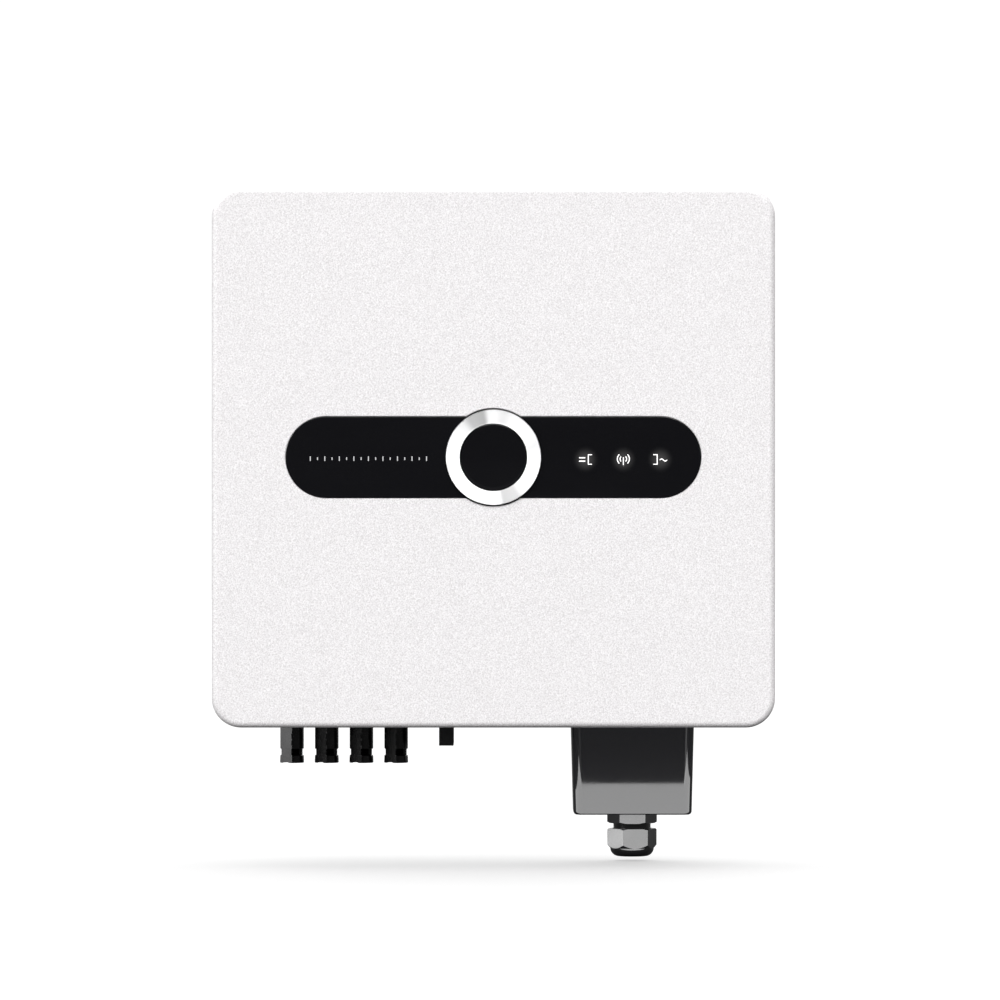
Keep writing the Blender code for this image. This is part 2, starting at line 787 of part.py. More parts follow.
def make_button_switch(look):
    """The push switch on the display board, with a well that its plunger slides in."""
    width = 12 * MM
    front = PLUNGER_FRONT - 1.4 * MM
    switch = block(
        "button_switch",
        0,
        front,
        DISPLAY_BOARD_FRONT + GAP,
        CASE_Z - width / 2,
        CASE_Z + width / 2,
        width,
    )
    depth = 2.9 * MM
    well = cylinder(
        "plunger_well", PLUNGER_RADIUS + GAP, depth + OVERLAP, (0, -front + depth, CASE_Z), FACING_FRONT
    )
    combine(switch, well)
    return finish(switch, look)


def make_light_guide(look):
    """A clear bar on the display board, with one pipe for each icon that reaches the panel's back."""
    back = DISPLAY_BOARD_FRONT + GAP
    bar_front = back + 4 * MM
    pipe_front = CASE_FRONT - PANEL_POCKET - GAP
    half_pipe = 6 * MM
    margin = half_pipe
    outline = [(ICON_X[-1] + margin, -back), (ICON_X[0] - margin, -back)]
    for x in ICON_X:
        outline += [
            (x - half_pipe, -bar_front),
            (x - half_pipe, -pipe_front),
            (x + half_pipe, -pipe_front),
            (x + half_pipe, -bar_front),
        ]
    # The end pipes run straight on from the bar's ends.
    del outline[2], outline[-1]
    height = 11 * MM
    guide = sheet("light_guide", [outline[::-1]], height, (0, 0, ICON_Z - height / 2))
    return finish(guide, look)


def make_display_board(look):
    board = sheet(
        "display_board",
        [rounded_rectangle(304 * MM, 44 * MM, 4 * MM, steps=3)],
        BOARD_THICKNESS,
        (0, -DISPLAY_BOARD_FRONT + BOARD_THICKNESS, CASE_Z),
        FACING_FRONT,
    )
    return finish(board, look)


# Power electronics inside the casing


def on_board(name, x, z, width, height, depth):
    """A component that stands on the front of the main board."""
    back = MAIN_BOARD_FRONT + GAP
    return block(name, x, back + depth, back, z - height / 2, z + height / 2, width)


def make_power_electronics(board, module, can, copper, relay):
    finish(
        block(
            "power_module",
            0,
            MODULE_FRONT,
            MODULE_BACK,
            CASE_Z - MODULE_HEIGHT / 2,
            CASE_Z + MODULE_HEIGHT / 2,
            MODULE_WIDTH,
        ),
        module,
    )
    middle = (MAIN_BOARD_TOP + MAIN_BOARD_BOTTOM) / 2
    main_board = sheet(
        "main_board",
        [rounded_rectangle(360 * MM, MAIN_BOARD_TOP - MAIN_BOARD_BOTTOM, 6 * MM, steps=3)],
        BOARD_THICKNESS,
        (0, -MAIN_BOARD_BACK, middle),
        FACING_FRONT,
    )
    finish(main_board, board)
    for i in range(3):
        place = ((i - 1) * 46 * MM, -MAIN_BOARD_FRONT - GAP, CASE_Z + 110 * MM)
        can_body = cylinder(f"link_capacitor_{i + 1}", 17.5 * MM, 42 * MM, place, FACING_FRONT)
        finish(can_body, can)
    for i, x in enumerate((-128 * MM, 128 * MM), start=1):
        finish(toroid(f"boost_inductor_{i}", x, CASE_Z + 110 * MM, 30 * MM, 13 * MM, 34 * MM), copper)
    finish(toroid("filter_choke", 100 * MM, CASE_Z - 75 * MM, 22 * MM, 10 * MM, 26 * MM), copper)
    for i, x in enumerate((18 * MM, 54 * MM), start=1):
        finish(on_board(f"grid_relay_{i}", x, CASE_Z - 90 * MM, 28 * MM, 32 * MM, 26 * MM), relay)


def toroid(name, x, z, outer, inner, depth):
    """A wound ring core lying on the main board, its edges rounded."""
    edge = 4 * MM
    profile = [
        (outer - edge, depth),
        (outer, depth - edge),
        (outer, 0),
        (inner, 0),
        (inner, depth - edge),
        (inner + edge, depth),
    ]
    return turned(name, profile, (x, -MAIN_BOARD_FRONT - GAP, z), FACING_FRONT)


# Solar connectors


def make_dc_connector(number, x, shell_look, metal, rubber):
    """A panel socket: a threaded shank through the housing's floor, a round flange and a body with a bore."""
    under = HOUSING_BOTTOM
    flange_top = under - SEAL_THICKNESS - 2 * GAP
    flange_bottom = flange_top - 3.2 * MM
    waist = DC_RADIUS - DC_GROOVE_DEPTH
    bore_end = DC_BOTTOM + 26 * MM
    contact_hole = 2.3 * MM
    shank_top = HOUSING_FLOOR + 8 * MM
    shell = turned(
        f"dc_connector_{number}",
        [
            (DC_SHANK, shank_top),
            (DC_SHANK, flange_top),
            (DC_FLANGE, flange_top),
            (DC_FLANGE, flange_bottom),
            (DC_RADIUS, flange_bottom),
            (DC_RADIUS, DC_GROOVE_HIGH),
            (waist, DC_GROOVE_HIGH),
            (waist, DC_GROOVE_LOW),
            (DC_RADIUS, DC_GROOVE_LOW),
            (DC_RADIUS, DC_BOTTOM),
            (DC_BORE, DC_BOTTOM),
            (DC_BORE, bore_end),
            (contact_hole, bore_end),
            (contact_hole, shank_top),
        ],
        (x, PORT_Y, 0),
    )
    latch = box(
        f"latch_window_{number}",
        (x, PORT_Y - DC_RADIUS - OVERLAP, DC_GROOVE_LOW),
        (x + DC_RADIUS - 1.6 * MM, PORT_Y - 3.5 * MM, DC_GROOVE_HIGH),
    )
    combine(shell, latch)
    finish(shell, shell_look)
    tip = DC_BOTTOM + 15 * MM
    contact = turned(
        f"dc_contact_{number}",
        [
            (0, shank_top + 6 * MM),
            (1.9 * MM, shank_top + 6 * MM),
            (1.9 * MM, bore_end),
            (1.5 * MM, bore_end),
            (1.5 * MM, tip + 1 * MM),
            (0.8 * MM, tip),
            (0, tip),
        ],
        (x, PORT_Y, 0),
        steps=SMALL_SEGMENTS,
        closed=False,
    )
    finish(contact, metal)
    nut = sheet(
        f"dc_lock_nut_{number}",
        [circle(11.8 * MM, steps=6), circle(DC_SHANK + GAP)],
        5 * MM,
        (x, PORT_Y, HOUSING_FLOOR + GAP),
    )
    finish(nut, metal)
    seal = sheet(
        f"dc_flange_seal_{number}",
        [circle(DC_FLANGE - 0.5 * MM), circle(DC_SHANK + GAP)],
        SEAL_THICKNESS,
        (x, PORT_Y, under - GAP - SEAL_THICKNESS),
    )
    finish(seal, rubber)


# Rotary DC isolator


def make_isolator(plastic, handle_look, metal, rubber):
    body_bottom = HOUSING_FLOOR + GAP
    body = box(
        "isolator_body",
        (ISOLATOR_X - ISOLATOR_WIDTH / 2, PORT_Y - ISOLATOR_WIDTH / 2, body_bottom),
        (ISOLATOR_X + ISOLATOR_WIDTH / 2, PORT_Y + ISOLATOR_WIDTH / 2, body_bottom + ISOLATOR_HEIGHT),
    )
    bore_depth = SHAFT_TOP - body_bottom + GAP
    bore = cylinder(
        "isolator_bore",
        SHAFT_RADIUS + GAP,
        bore_depth + OVERLAP,
        (ISOLATOR_X, PORT_Y, body_bottom - OVERLAP),
    )
    combine(body, bore)
    finish(body, plastic)
    shaft = cylinder(
        "isolator_shaft",
        SHAFT_RADIUS,
        SHAFT_TOP - HANDLE_BORE_TOP,
        (ISOLATOR_X, PORT_Y, HANDLE_BORE_TOP),
    )
    finish(shaft, metal)
    seal = sheet(
        "isolator_seal",
        [circle(ISOLATOR_HOLE - GAP), circle(SHAFT_RADIUS + GAP)],
        3 * MM,
        (ISOLATOR_X, PORT_Y, HOUSING_BOTTOM + 0.5 * MM),
    )
    finish(seal, rubber)
    make_isolator_handle(handle_look)


def make_isolator_handle(look):
    """A disc under the housing with a straight grip bar, at rest with the bar's end to the front."""
    handle = turned(
        "isolator_handle",
        [
            (0, 0),
            (HANDLE_DISC_RADIUS, 0),
            (HANDLE_DISC_RADIUS, -HANDLE_DISC_THICKNESS + 1 * MM),
            (HANDLE_DISC_RADIUS - 1 * MM, -HANDLE_DISC_THICKNESS),
            (0, -HANDLE_DISC_THICKNESS),
        ],
        (ISOLATOR_X, PORT_Y, HANDLE_TOP),
        closed=False,
    )
    reach = HANDLE_DISC_RADIUS - 0.5 * MM
    bar = box(
        "handle_bar",
        (ISOLATOR_X - HANDLE_BAR_WIDTH / 2, PORT_Y - reach, HANDLE_BAR_BOTTOM),
        (ISOLATOR_X + HANDLE_BAR_WIDTH / 2, PORT_Y + reach, HANDLE_TOP - HANDLE_DISC_THICKNESS / 2),
    )
    bevel = bar.modifiers.new("edges", "BEVEL")
    bevel.width = 0.8 * MM
    bevel.segments = 2
    combine(handle, bar, "UNION")
    bore = cylinder(
        "handle_bore",
        SHAFT_RADIUS + GAP,
        HANDLE_TOP - HANDLE_BORE_TOP + GAP + OVERLAP,
        (ISOLATOR_X, PORT_Y, HANDLE_BORE_TOP - GAP),
    )
    combine(handle, bore)
    return finish(handle, look)


# AC wiring box


def box_flange_outline():
    width = BOX_TOP_WIDTH + 2 * BOX_FLANGE_REACH
    return rounded_rectangle(width, BOX_DEPTH + 4 * MM, BOX_SIDE_ROUND, centre=(BOX_X, PORT_Y))


def inside_outline():
    width = BOX_TOP_WIDTH - 2 * BOX_WALL - 2 * MM
    return rounded_rectangle(width, BOX_DEPTH - 2 * BOX_WALL - 2 * MM, 4 * MM, centre=(BOX_X, PORT_Y))


def make_wiring_box(look):
    wiring_box = open_box(
        "wiring_box",
        (BOX_X - BOX_TOP_WIDTH / 2, PORT_Y - BOX_DEPTH / 2, BOX_BOTTOM),
        (BOX_X + BOX_TOP_WIDTH / 2, PORT_Y + BOX_DEPTH / 2, BOX_FLANGE_TOP),
        (2, 1),
        BOX_SIDE_ROUND,
        BOX_END_ROUND,
        BOX_WALL,
        narrow=BOX_BOTTOM_WIDTH / BOX_TOP_WIDTH,
    )
    flange = sheet(
        "box_flange",
        [box_flange_outline(), inside_outline()],
        BOX_FLANGE_THICKNESS,
        (0, 0, BOX_FLANGE_TOP - BOX_FLANGE_THICKNESS),
    )
    combine(wiring_box, as_mesh(flange), "UNION")
    gland_hole = cylinder(
        "gland_hole",
        GLAND_THREAD_RADIUS + GAP,
        BOX_WALL + 2 * OVERLAP,
        (BOX_X, PORT_Y, BOX_BOTTOM - OVERLAP),
    )
    combine(wiring_box, gland_hole)
    for i, x in enumerate(BOX_SCREW_X):
        hole = cylinder(
            f"flange_screw_hole_{i}",
            BOX_SCREW_RADIUS + GAP,
            BOX_FLANGE_THICKNESS + 2 * OVERLAP,
            (x, PORT_Y, BOX_FLANGE_TOP - BOX_FLANGE_THICKNESS - OVERLAP),
        )
        combine(wiring_box, hole)
    return finish(wiring_box, look)


def make_wiring_box_gasket(look):
    outer = rounded_rectangle(
        BOX_TOP_WIDTH, BOX_DEPTH + 2 * MM, BOX_SIDE_ROUND, centre=(BOX_X, PORT_Y)
    )
    gasket = sheet(
        "wiring_box_gasket",
        [outer, inside_outline()],
        SEAL_THICKNESS,
        (0, 0, HOUSING_BOTTOM - GAP - SEAL_THICKNESS),
    )
    return finish(gasket, look)


def make_terminal_block(look):
    """Four clamps side by side, each with a wire entry that is open at the bottom."""
    terminal = box(
        "ac_terminal_block",
        (BOX_X - TERMINAL_WIDTH / 2, PORT_Y - TERMINAL_DEPTH / 2, TERMINAL_BOTTOM),
        (BOX_X + TERMINAL_WIDTH / 2, PORT_Y + TERMINAL_DEPTH / 2, TERMINAL_TOP),
    )
    entry = 8 * MM
    pitch = TERMINAL_WIDTH / 4
    for i in range(4):
        x = BOX_X + (i - 1.5) * pitch
        hole = box(
            f"wire_entry_{i}",
            (x - entry / 2, PORT_Y - entry / 2, TERMINAL_BOTTOM - OVERLAP),
            (x + entry / 2, PORT_Y + entry / 2, TERMINAL_BOTTOM + 15 * MM),
        )
        combine(terminal, hole)
    return finish(terminal, look)


# Cable gland under the wiring box


def hexagon(turn=0.0):
    return [(GLAND_CORNER * cos(turn + i * pi / 3), GLAND_CORNER * sin(turn + i * pi / 3)) for i in range(6)]


def make_gland_body(look):
    """A hexagon flange under the box, a thread up into it and a neck down into the nut."""
    height = GLAND_FLANGE_TOP - GLAND_FLANGE_BOTTOM
    body = as_mesh(sheet("gland_body", [hexagon()], height, (BOX_X, PORT_Y, GLAND_FLANGE_BOTTOM)))
    pipe = turned(
        "gland_pipe",
        [
            (GLAND_THREAD_RADIUS, THREAD_TOP),
            (GLAND_THREAD_RADIUS, GLAND_FLANGE_TOP - SEAL_RECESS_DEPTH - OVERLAP),
            (GLAND_NECK_RADIUS, GLAND_FLANGE_BOTTOM + OVERLAP),
            (GLAND_NECK_RADIUS, NECK_BOTTOM),
            (0, NECK_BOTTOM),
            (0, THREAD_TOP),
        ],
        (BOX_X, PORT_Y, 0),
    )
    recess = turned(
        "seal_recess",
        [
            (SEAL_RECESS_RADIUS, GLAND_FLANGE_TOP + OVERLAP),
            (SEAL_RECESS_RADIUS, GLAND_FLANGE_TOP - SEAL_RECESS_DEPTH),
            (0, GLAND_FLANGE_TOP - SEAL_RECESS_DEPTH),
            (0, GLAND_FLANGE_TOP + OVERLAP),
        ],
        (BOX_X, PORT_Y, 0),
    )
    combine(body, recess)
    combine(body, pipe, "UNION")
    bore = cylinder(
        "gland_bore",
        GLAND_BORE_RADIUS,
        THREAD_TOP - NECK_BOTTOM + 2 * OVERLAP,
        (BOX_X, PORT_Y, NECK_BOTTOM - OVERLAP),
    )
    combine(body, bore)
    return finish(body, look)


def make_gland_fittings(nut_look, rubber):
    seal = sheet(
        "gland_flat_seal",
        [circle(SEAL_RECESS_RADIUS - GAP), circle(GLAND_THREAD_RADIUS + GAP)],
        SEAL_RECESS_DEPTH - GAP,
        (BOX_X, PORT_Y, GLAND_FLANGE_TOP - SEAL_RECESS_DEPTH + GAP),
    )
    finish(seal, rubber)
    lock_nut = sheet(
        "gland_lock_nut",
        [circle(17.3 * MM, steps=6), circle(GLAND_THREAD_RADIUS + GAP)],
        4.5 * MM,
        (BOX_X, PORT_Y, BOX_BOTTOM + BOX_WALL + GAP),
    )
    finish(lock_nut, nut_look)
    bottom = GLAND_BOTTOM + 6 * MM
    top = bottom + 16 * MM
    insert = turned(
        "gland_insert",
        [
            (GLAND_BORE_RADIUS - GAP, top),
            (GLAND_BORE_RADIUS - GAP, bottom + 1 * MM),
            (GLAND_BORE_RADIUS - GAP - 1 * MM, bottom),
            (7 * MM, bottom),
            (7 * MM, top),
        ],
        (BOX_X, PORT_Y, 0),
    )
    finish(insert, rubber)


def make_gland_nut(look):
    """A dome nut: hexagon sides below the neck, a step, and a round dome with the cable's mouth."""
    hex_end = GLAND_NUT_TOP - 11.9 * MM
    step = GLAND_NUT_TOP - 14.8 * MM
    dome_radius = 6.3 * MM
    mouth = 9.3 * MM
    height = GLAND_NUT_TOP - GLAND_BOTTOM
    nut = as_mesh(
        sheet("gland_nut", [hexagon(GLAND_NUT_TURN)], height, (BOX_X, PORT_Y, GLAND_BOTTOM))
    )
    centre = (10.2 * MM, GLAND_BOTTOM + dome_radius)
    dome = arc(centre, dome_radius, 0, -pi / 2, 6)
    envelope = turned(
        "nut_envelope",
        [
            (GLAND_CORNER - 0.8 * MM, GLAND_NUT_TOP),
            (GLAND_CORNER, GLAND_NUT_TOP - 1 * MM),
            (GLAND_CORNER, hex_end),
            (16.5 * MM, step),
            *dome,
            (0, GLAND_BOTTOM),
            (0, GLAND_NUT_TOP),
        ],
        (BOX_X, PORT_Y, 0),
    )
    combine(nut, envelope, "INTERSECT")
    thread = GLAND_NECK_RADIUS + THREAD_ROOM
    cone_top = NECK_BOTTOM - 4.5 * MM
    hollow = turned(
        "nut_hollow",
        [
            (thread, GLAND_NUT_TOP + OVERLAP),
            (thread, cone_top),
            (mouth, cone_top - 5.5 * MM),
            (mouth, GLAND_BOTTOM - OVERLAP),
            (0, GLAND_BOTTOM - OVERLAP),
            (0, GLAND_NUT_TOP + OVERLAP),
        ],
        (BOX_X, PORT_Y, 0),
    )
    combine(nut, hollow)
    return finish(nut, look)


def main():
    clear_scene()
    white = material("white_powder_coat", (0.87, 0.86, 0.86), 0.55)
    grey_coat = material("grey_powder_coat", (0.42, 0.42, 0.43), 0.5)
    bare = material("bare_aluminium", (0.66, 0.67, 0.68), 0.4, 1.0)
    zinc = material("zinc_plate", (0.62, 0.63, 0.64), 0.35, 1.0)
    chrome = material("spun_chrome", (0.82, 0.82, 0.83), 0.2, 1.0)
    gloss = material("gloss_black", (0.008, 0.008, 0.009), 0.12)
    black = material("black_plastic", (0.012, 0.012, 0.013), 0.4)
    box_black = material("moulded_black", (0.02, 0.02, 0.022), 0.25)
    rubber = material("seal_rubber", (0.02, 0.02, 0.02), 0.8)
    clear = material("clear_plastic", (0.85, 0.87, 0.9), 0.1)
    board = material("circuit_board", (0.02, 0.14, 0.06), 0.5)
    contact = material("tinned_contact", (0.75, 0.74, 0.7), 0.25, 1.0)
    can = material("capacitor_sleeve", (0.03, 0.03, 0.06), 0.35)
    copper = material("winding", (0.55, 0.25, 0.1), 0.4)
    relay = material("relay_case", (0.05, 0.05, 0.06), 0.45)
    terminal = material("terminal_plastic", (0.2, 0.3, 0.22), 0.5)

    make_wall_bracket(zinc)
    make_hanger_plate(zinc)
    make_heatsink(bare)
    make_rear_housing(grey_coat)
    make_cover_gasket(rubber)
    make_front_cover(white)
    make_cover_screws(zinc)
    make_bottom_plugs(zinc, black)
    make_display_panel(gloss)
    make_chrome_ring(chrome)
    make_button(gloss, black)
    make_button_switch(black)
    make_light_guide(clear)
    make_display_board(board)
    make_power_electronics(board, relay, can, copper, relay)
    for number, x in enumerate(DC_X, start=1):
        make_dc_connector(number, x, black, contact, rubber)
    make_isolator(terminal, black, zinc, rubber)
    make_wiring_box(box_black)
    make_wiring_box_gasket(rubber)
    make_terminal_block(terminal)
    make_gland_body(black)
    make_gland_fittings(black, rubber)
    make_gland_nut(black)


main()
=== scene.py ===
"""Looks of a wall-hung string inverter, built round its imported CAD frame.

Metres, +Z up. The front looks towards -Y, and +X is to the right as seen from the front.
"""

from math import asin, cos, pi, radians, sin

import bmesh
import bpy
from mathutils import Matrix, Vector


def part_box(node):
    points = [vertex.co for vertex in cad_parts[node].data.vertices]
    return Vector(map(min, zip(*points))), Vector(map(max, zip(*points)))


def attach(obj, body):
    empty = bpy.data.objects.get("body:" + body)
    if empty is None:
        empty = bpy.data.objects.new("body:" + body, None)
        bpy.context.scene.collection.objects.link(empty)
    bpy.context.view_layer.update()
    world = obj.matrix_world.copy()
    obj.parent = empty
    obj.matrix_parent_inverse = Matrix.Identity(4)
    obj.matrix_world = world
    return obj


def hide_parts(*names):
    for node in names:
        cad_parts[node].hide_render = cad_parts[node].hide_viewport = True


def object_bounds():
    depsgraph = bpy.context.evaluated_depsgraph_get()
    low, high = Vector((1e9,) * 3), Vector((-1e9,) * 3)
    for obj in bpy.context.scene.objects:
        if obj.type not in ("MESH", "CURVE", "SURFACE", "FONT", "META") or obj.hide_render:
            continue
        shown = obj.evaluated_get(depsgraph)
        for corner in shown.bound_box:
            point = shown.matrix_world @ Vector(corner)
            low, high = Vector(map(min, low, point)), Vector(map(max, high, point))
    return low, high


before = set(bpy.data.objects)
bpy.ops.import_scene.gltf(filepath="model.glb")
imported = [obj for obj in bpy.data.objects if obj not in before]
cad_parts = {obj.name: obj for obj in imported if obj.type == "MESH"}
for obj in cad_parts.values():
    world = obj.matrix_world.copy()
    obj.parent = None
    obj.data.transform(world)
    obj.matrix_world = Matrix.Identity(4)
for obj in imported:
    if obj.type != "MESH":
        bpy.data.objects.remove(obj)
cad_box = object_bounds()

MM = 0.001
GAP = 0.3 * MM
SEAM = 0.01 * MM  # between two pieces that stand for one solid
TURN_STEPS = 96
EDGE_STEPS = 3
MERGE_DISTANCE = 0.001 * MM
SHARP_ANGLE = radians(35)

case_low, case_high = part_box("front_cover")
CASE_WIDTH = case_high.x - case_low.x
CASE_HEIGHT = case_high.z - case_low.z
CASE_Z = (case_low.z + case_high.z) / 2
CASE_FRONT = case_low.y
CASE_BACK = case_high.y
panel_low, panel_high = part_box("display_panel")
PANEL_FRONT = panel_low.y

FACING_FRONT = (pi / 2, 0, 0)  # local Z points to the front, local Y points up

# The colour sockets of Blender's Mix node, which share their names with its other sockets
MIX_FACTOR = 0
MIX_LOW = 6
MIX_HIGH = 7
MIX_RESULT = 2

# Painted reflection in the spun chrome's colour: how bright it is over half a turn, in bright and dull rays
# that stand in for the lights' reflections: (share of the half turn, brightness)
PAINTED_REFLECTION_RAYS = (
    (0.0, 1.0),
    (0.08, 0.86),
    (0.17, 1.0),
    (0.33, 0.97),
    (0.42, 0.78),
    (0.5, 1.0),
    (0.67, 1.0),
    (0.75, 0.86),
    (0.83, 0.54),
    (0.92, 0.5),
    (0.97, 0.96),
    (1.0, 1.0),
)

MARK_HEIGHT = 0.06 * MM  # a lit or printed mark stands this far in front of the panel
MARK_GAP = 0.005 * MM
# Painted glow: how far out from each icon, and how strongly, the panel itself gives off light.
PAINTED_GLOW_REACH = 11 * MM
PAINTED_GLOW_STRENGTH = 0.05


# Materials


class Surface:
    """A node material in the making. Its textures follow the object's own coordinates, in metres."""

    def __init__(self, name, colour, roughness, metallic=0.0, **sockets):
        self.material = bpy.data.materials.new(name)
        self.material.use_nodes = True
        self.material.diffuse_color = (*colour, 1)
        self.tree = self.material.node_tree
        self.shader = self.tree.nodes["Principled BSDF"]
        self.place = self.node("ShaderNodeTexCoord").outputs["Object"]
        self.normal = None
        self.set("Base Color", (*colour, 1))
        self.set("Roughness", roughness)
        self.set("Metallic", metallic)
        for socket, value in sockets.items():
            self.set(socket.replace("_", " "), value)

    def set(self, socket, value):
        self.feed(self.shader.inputs[socket], value)

    def feed(self, socket, value):
        if isinstance(value, bpy.types.NodeSocket):
            self.tree.links.new(value, socket)
        else:
            socket.default_value = value

    def node(self, kind, inputs=None, **settings):
        made = self.tree.nodes.new(kind)
        for key, value in settings.items():
            setattr(made, key, value)
        for key, value in (inputs or {}).items():
            self.feed(made.inputs[key], value)
        return made

    def stretched(self, stretch):
        return self.node("ShaderNodeMapping", {"Vector": self.place, "Scale": stretch}).outputs["Vector"]

    def noise(self, size, detail=3.0, stretch=(1, 1, 1)):
        """Cloudy noise from 0 to 1, its blotches about this size. A small stretch draws them out."""
        inputs = {"Vector": self.stretched(stretch), "Scale": 1 / size, "Detail": detail}
        return self.node("ShaderNodeTexNoise", inputs).outputs["Fac"]

    def cells(self, size, feature="F1"):
        """Round cells about this size: how far a point is from a cell's middle, or from its edge."""
        inputs = {"Vector": self.place, "Scale": 1 / size}
        return self.node("ShaderNodeTexVoronoi", inputs, feature=feature).outputs["Distance"]

    def math(self, operation, first, second=0.0):
        return self.node("ShaderNodeMath", {0: first, 1: second}, operation=operation).outputs["Value"]

    def between(self, factor, low, high, start=0.3, end=0.7):
        """Runs from low to high while the factor runs from start to end."""
        inputs = {"Value": factor, "From Min": start, "From Max": end, "To Min": low, "To Max": high}
        return self.node("ShaderNodeMapRange", inputs).outputs["Result"]

    def tint(self, factor, low, high, start=0.3, end=0.7):
        """A colour from low to high while the factor runs from start to end."""
        share = self.between(factor, 0, 1, start, end)
        mix = self.node("ShaderNodeMix", data_type="RGBA")
        self.feed(mix.inputs[MIX_FACTOR], share)
        self.feed(mix.inputs[MIX_LOW], (*low, 1))
        self.feed(mix.inputs[MIX_HIGH], (*high, 1))
        return mix.outputs[MIX_RESULT]

    def bump(self, height, depth):
        """Adds relief of this depth, in metres, on top of the relief there is."""
        inputs = {"Height": height, "Distance": depth}
        if self.normal:
            inputs["Normal"] = self.normal
        self.normal = self.node("ShaderNodeBump", inputs).outputs["Normal"]
        self.set("Normal", self.normal)


def scaled(colour, factor):
    return tuple(channel * factor for channel in colour)


def white_coat():
    """Powder coat with a fine grain: bright and dull specks, pin-head relief and a faint unevenness."""
    made = Surface("white_coat", (0.85, 0.84, 0.845), 0.42, Specular_IOR_Level=0.35)
    turned = {"Vector": made.place, "Rotation": (0.7, 0.5, 0.9)}
    made.place = made.node("ShaderNodeMapping", turned).outputs["Vector"]
    grain = made.noise(0.95 * MM, detail=1.0)
    made.set("Base Color", made.tint(grain, (0.7, 0.68, 0.687), (0.995, 0.98, 0.99)))
    made.set("Roughness", made.between(made.noise(30 * MM), 0.38, 0.5))
    made.bump(made.noise(1.0 * MM, detail=2.0), 0.07 * MM)
    made.bump(made.cells(0.8 * MM), 0.02 * MM)
    return made.material


def grey_coat():
    """The casting's coat: coarser grain, with the casting's own waves under it."""
    made = Surface("grey_coat", (0.42, 0.42, 0.43), 0.5)
    grain = made.noise(1.3 * MM, detail=3.0)
    made.set("Base Color", made.tint(grain, (0.37, 0.37, 0.38), (0.47, 0.47, 0.48)))
    made.set("Roughness", made.between(made.noise(20 * MM), 0.42, 0.6))
    made.bump(made.noise(9 * MM), 0.15 * MM)
    made.bump(grain, 0.05 * MM)
    return made.material


def bare_aluminium():
    """Extruded: fine die lines run the length of the fins, and the surface has dulled in clouds."""
    made = Surface("bare_aluminium", (0.66, 0.67, 0.68), 0.4, 1.0)
    lines = made.noise(0.5 * MM, detail=4.0, stretch=(1, 1, 0.01))
    clouds = made.noise(26 * MM, detail=5.0)
    made.set("Base Color", made.tint(clouds, (0.56, 0.57, 0.58), (0.72, 0.73, 0.74)))
    made.set("Roughness", made.between(lines, 0.28, 0.5))
    made.bump(lines, 0.02 * MM)
    return made.material


def zinc_steel():
    """Zinc plate over rolled sheet: blue-grey with a warm cast here and there, and faint rolling lines."""
    made = Surface("zinc_steel", (0.62, 0.63, 0.64), 0.35, 1.0)
    clouds = made.noise(14 * MM, detail=5.0)
    made.set("Base Color", made.tint(clouds, (0.5, 0.52, 0.55), (0.68, 0.67, 0.63)))
    lines = made.noise(0.6 * MM, detail=3.0, stretch=(0.02, 1, 1))
    made.set("Roughness", made.between(lines, 0.24, 0.45))
    made.bump(lines, 0.012 * MM)
    made.bump(made.noise(2 * MM), 0.02 * MM)
    return made.material


def spun_chrome():
    """Spun chrome with a painted reflection: over each half turn its colour goes from bright to dull and
    back, in rays that stand in for how the brushed metal reflects the lights.
    """
    made = Surface("spun_chrome", (0.9, 0.9, 0.905), 0.48, 1.0, Anisotropic=0.6)
    tangent = made.node("ShaderNodeTangent", direction_type="RADIAL", axis="Y")
    made.set("Tangent", tangent.outputs["Tangent"])
    split = made.node("ShaderNodeSeparateXYZ", {"Vector": made.place})
    across, up = split.outputs["X"], split.outputs["Z"]
    squares = made.math("ADD", made.math("POWER", across, 2.0), made.math("POWER", up, 2.0))
    radius = made.math("SQRT", squares)
    scratches = {"W": radius, "Scale": 4000.0, "Detail": 3.0}
    rings = made.node("ShaderNodeTexNoise", scratches, noise_dimensions="1D").outputs["Fac"]
    half_turns = made.math("DIVIDE", made.math("ARCTAN2", across, up), pi)
    # Painted reflection: the colour's bright and dull rays by angle round the ring, from the table above.
    ramp = made.node("ShaderNodeValToRGB", {"Fac": made.math("FRACT", half_turns)})
    stops = ramp.color_ramp.elements
    ramp.color_ramp.interpolation = "EASE"
    for place, _ in PAINTED_REFLECTION_RAYS[1:-1]:
        stops.new(place)
    for stop, (place, bright) in zip(stops, PAINTED_REFLECTION_RAYS):
        stop.position = place
        stop.color = (0.93 * bright, 0.93 * bright, 0.935 * bright, 1)
    made.set("Base Color", ramp.outputs["Color"])
    made.set("Roughness", made.between(rings, 0.42, 0.54))
    made.bump(rings, 0.004 * MM)
    return made.material


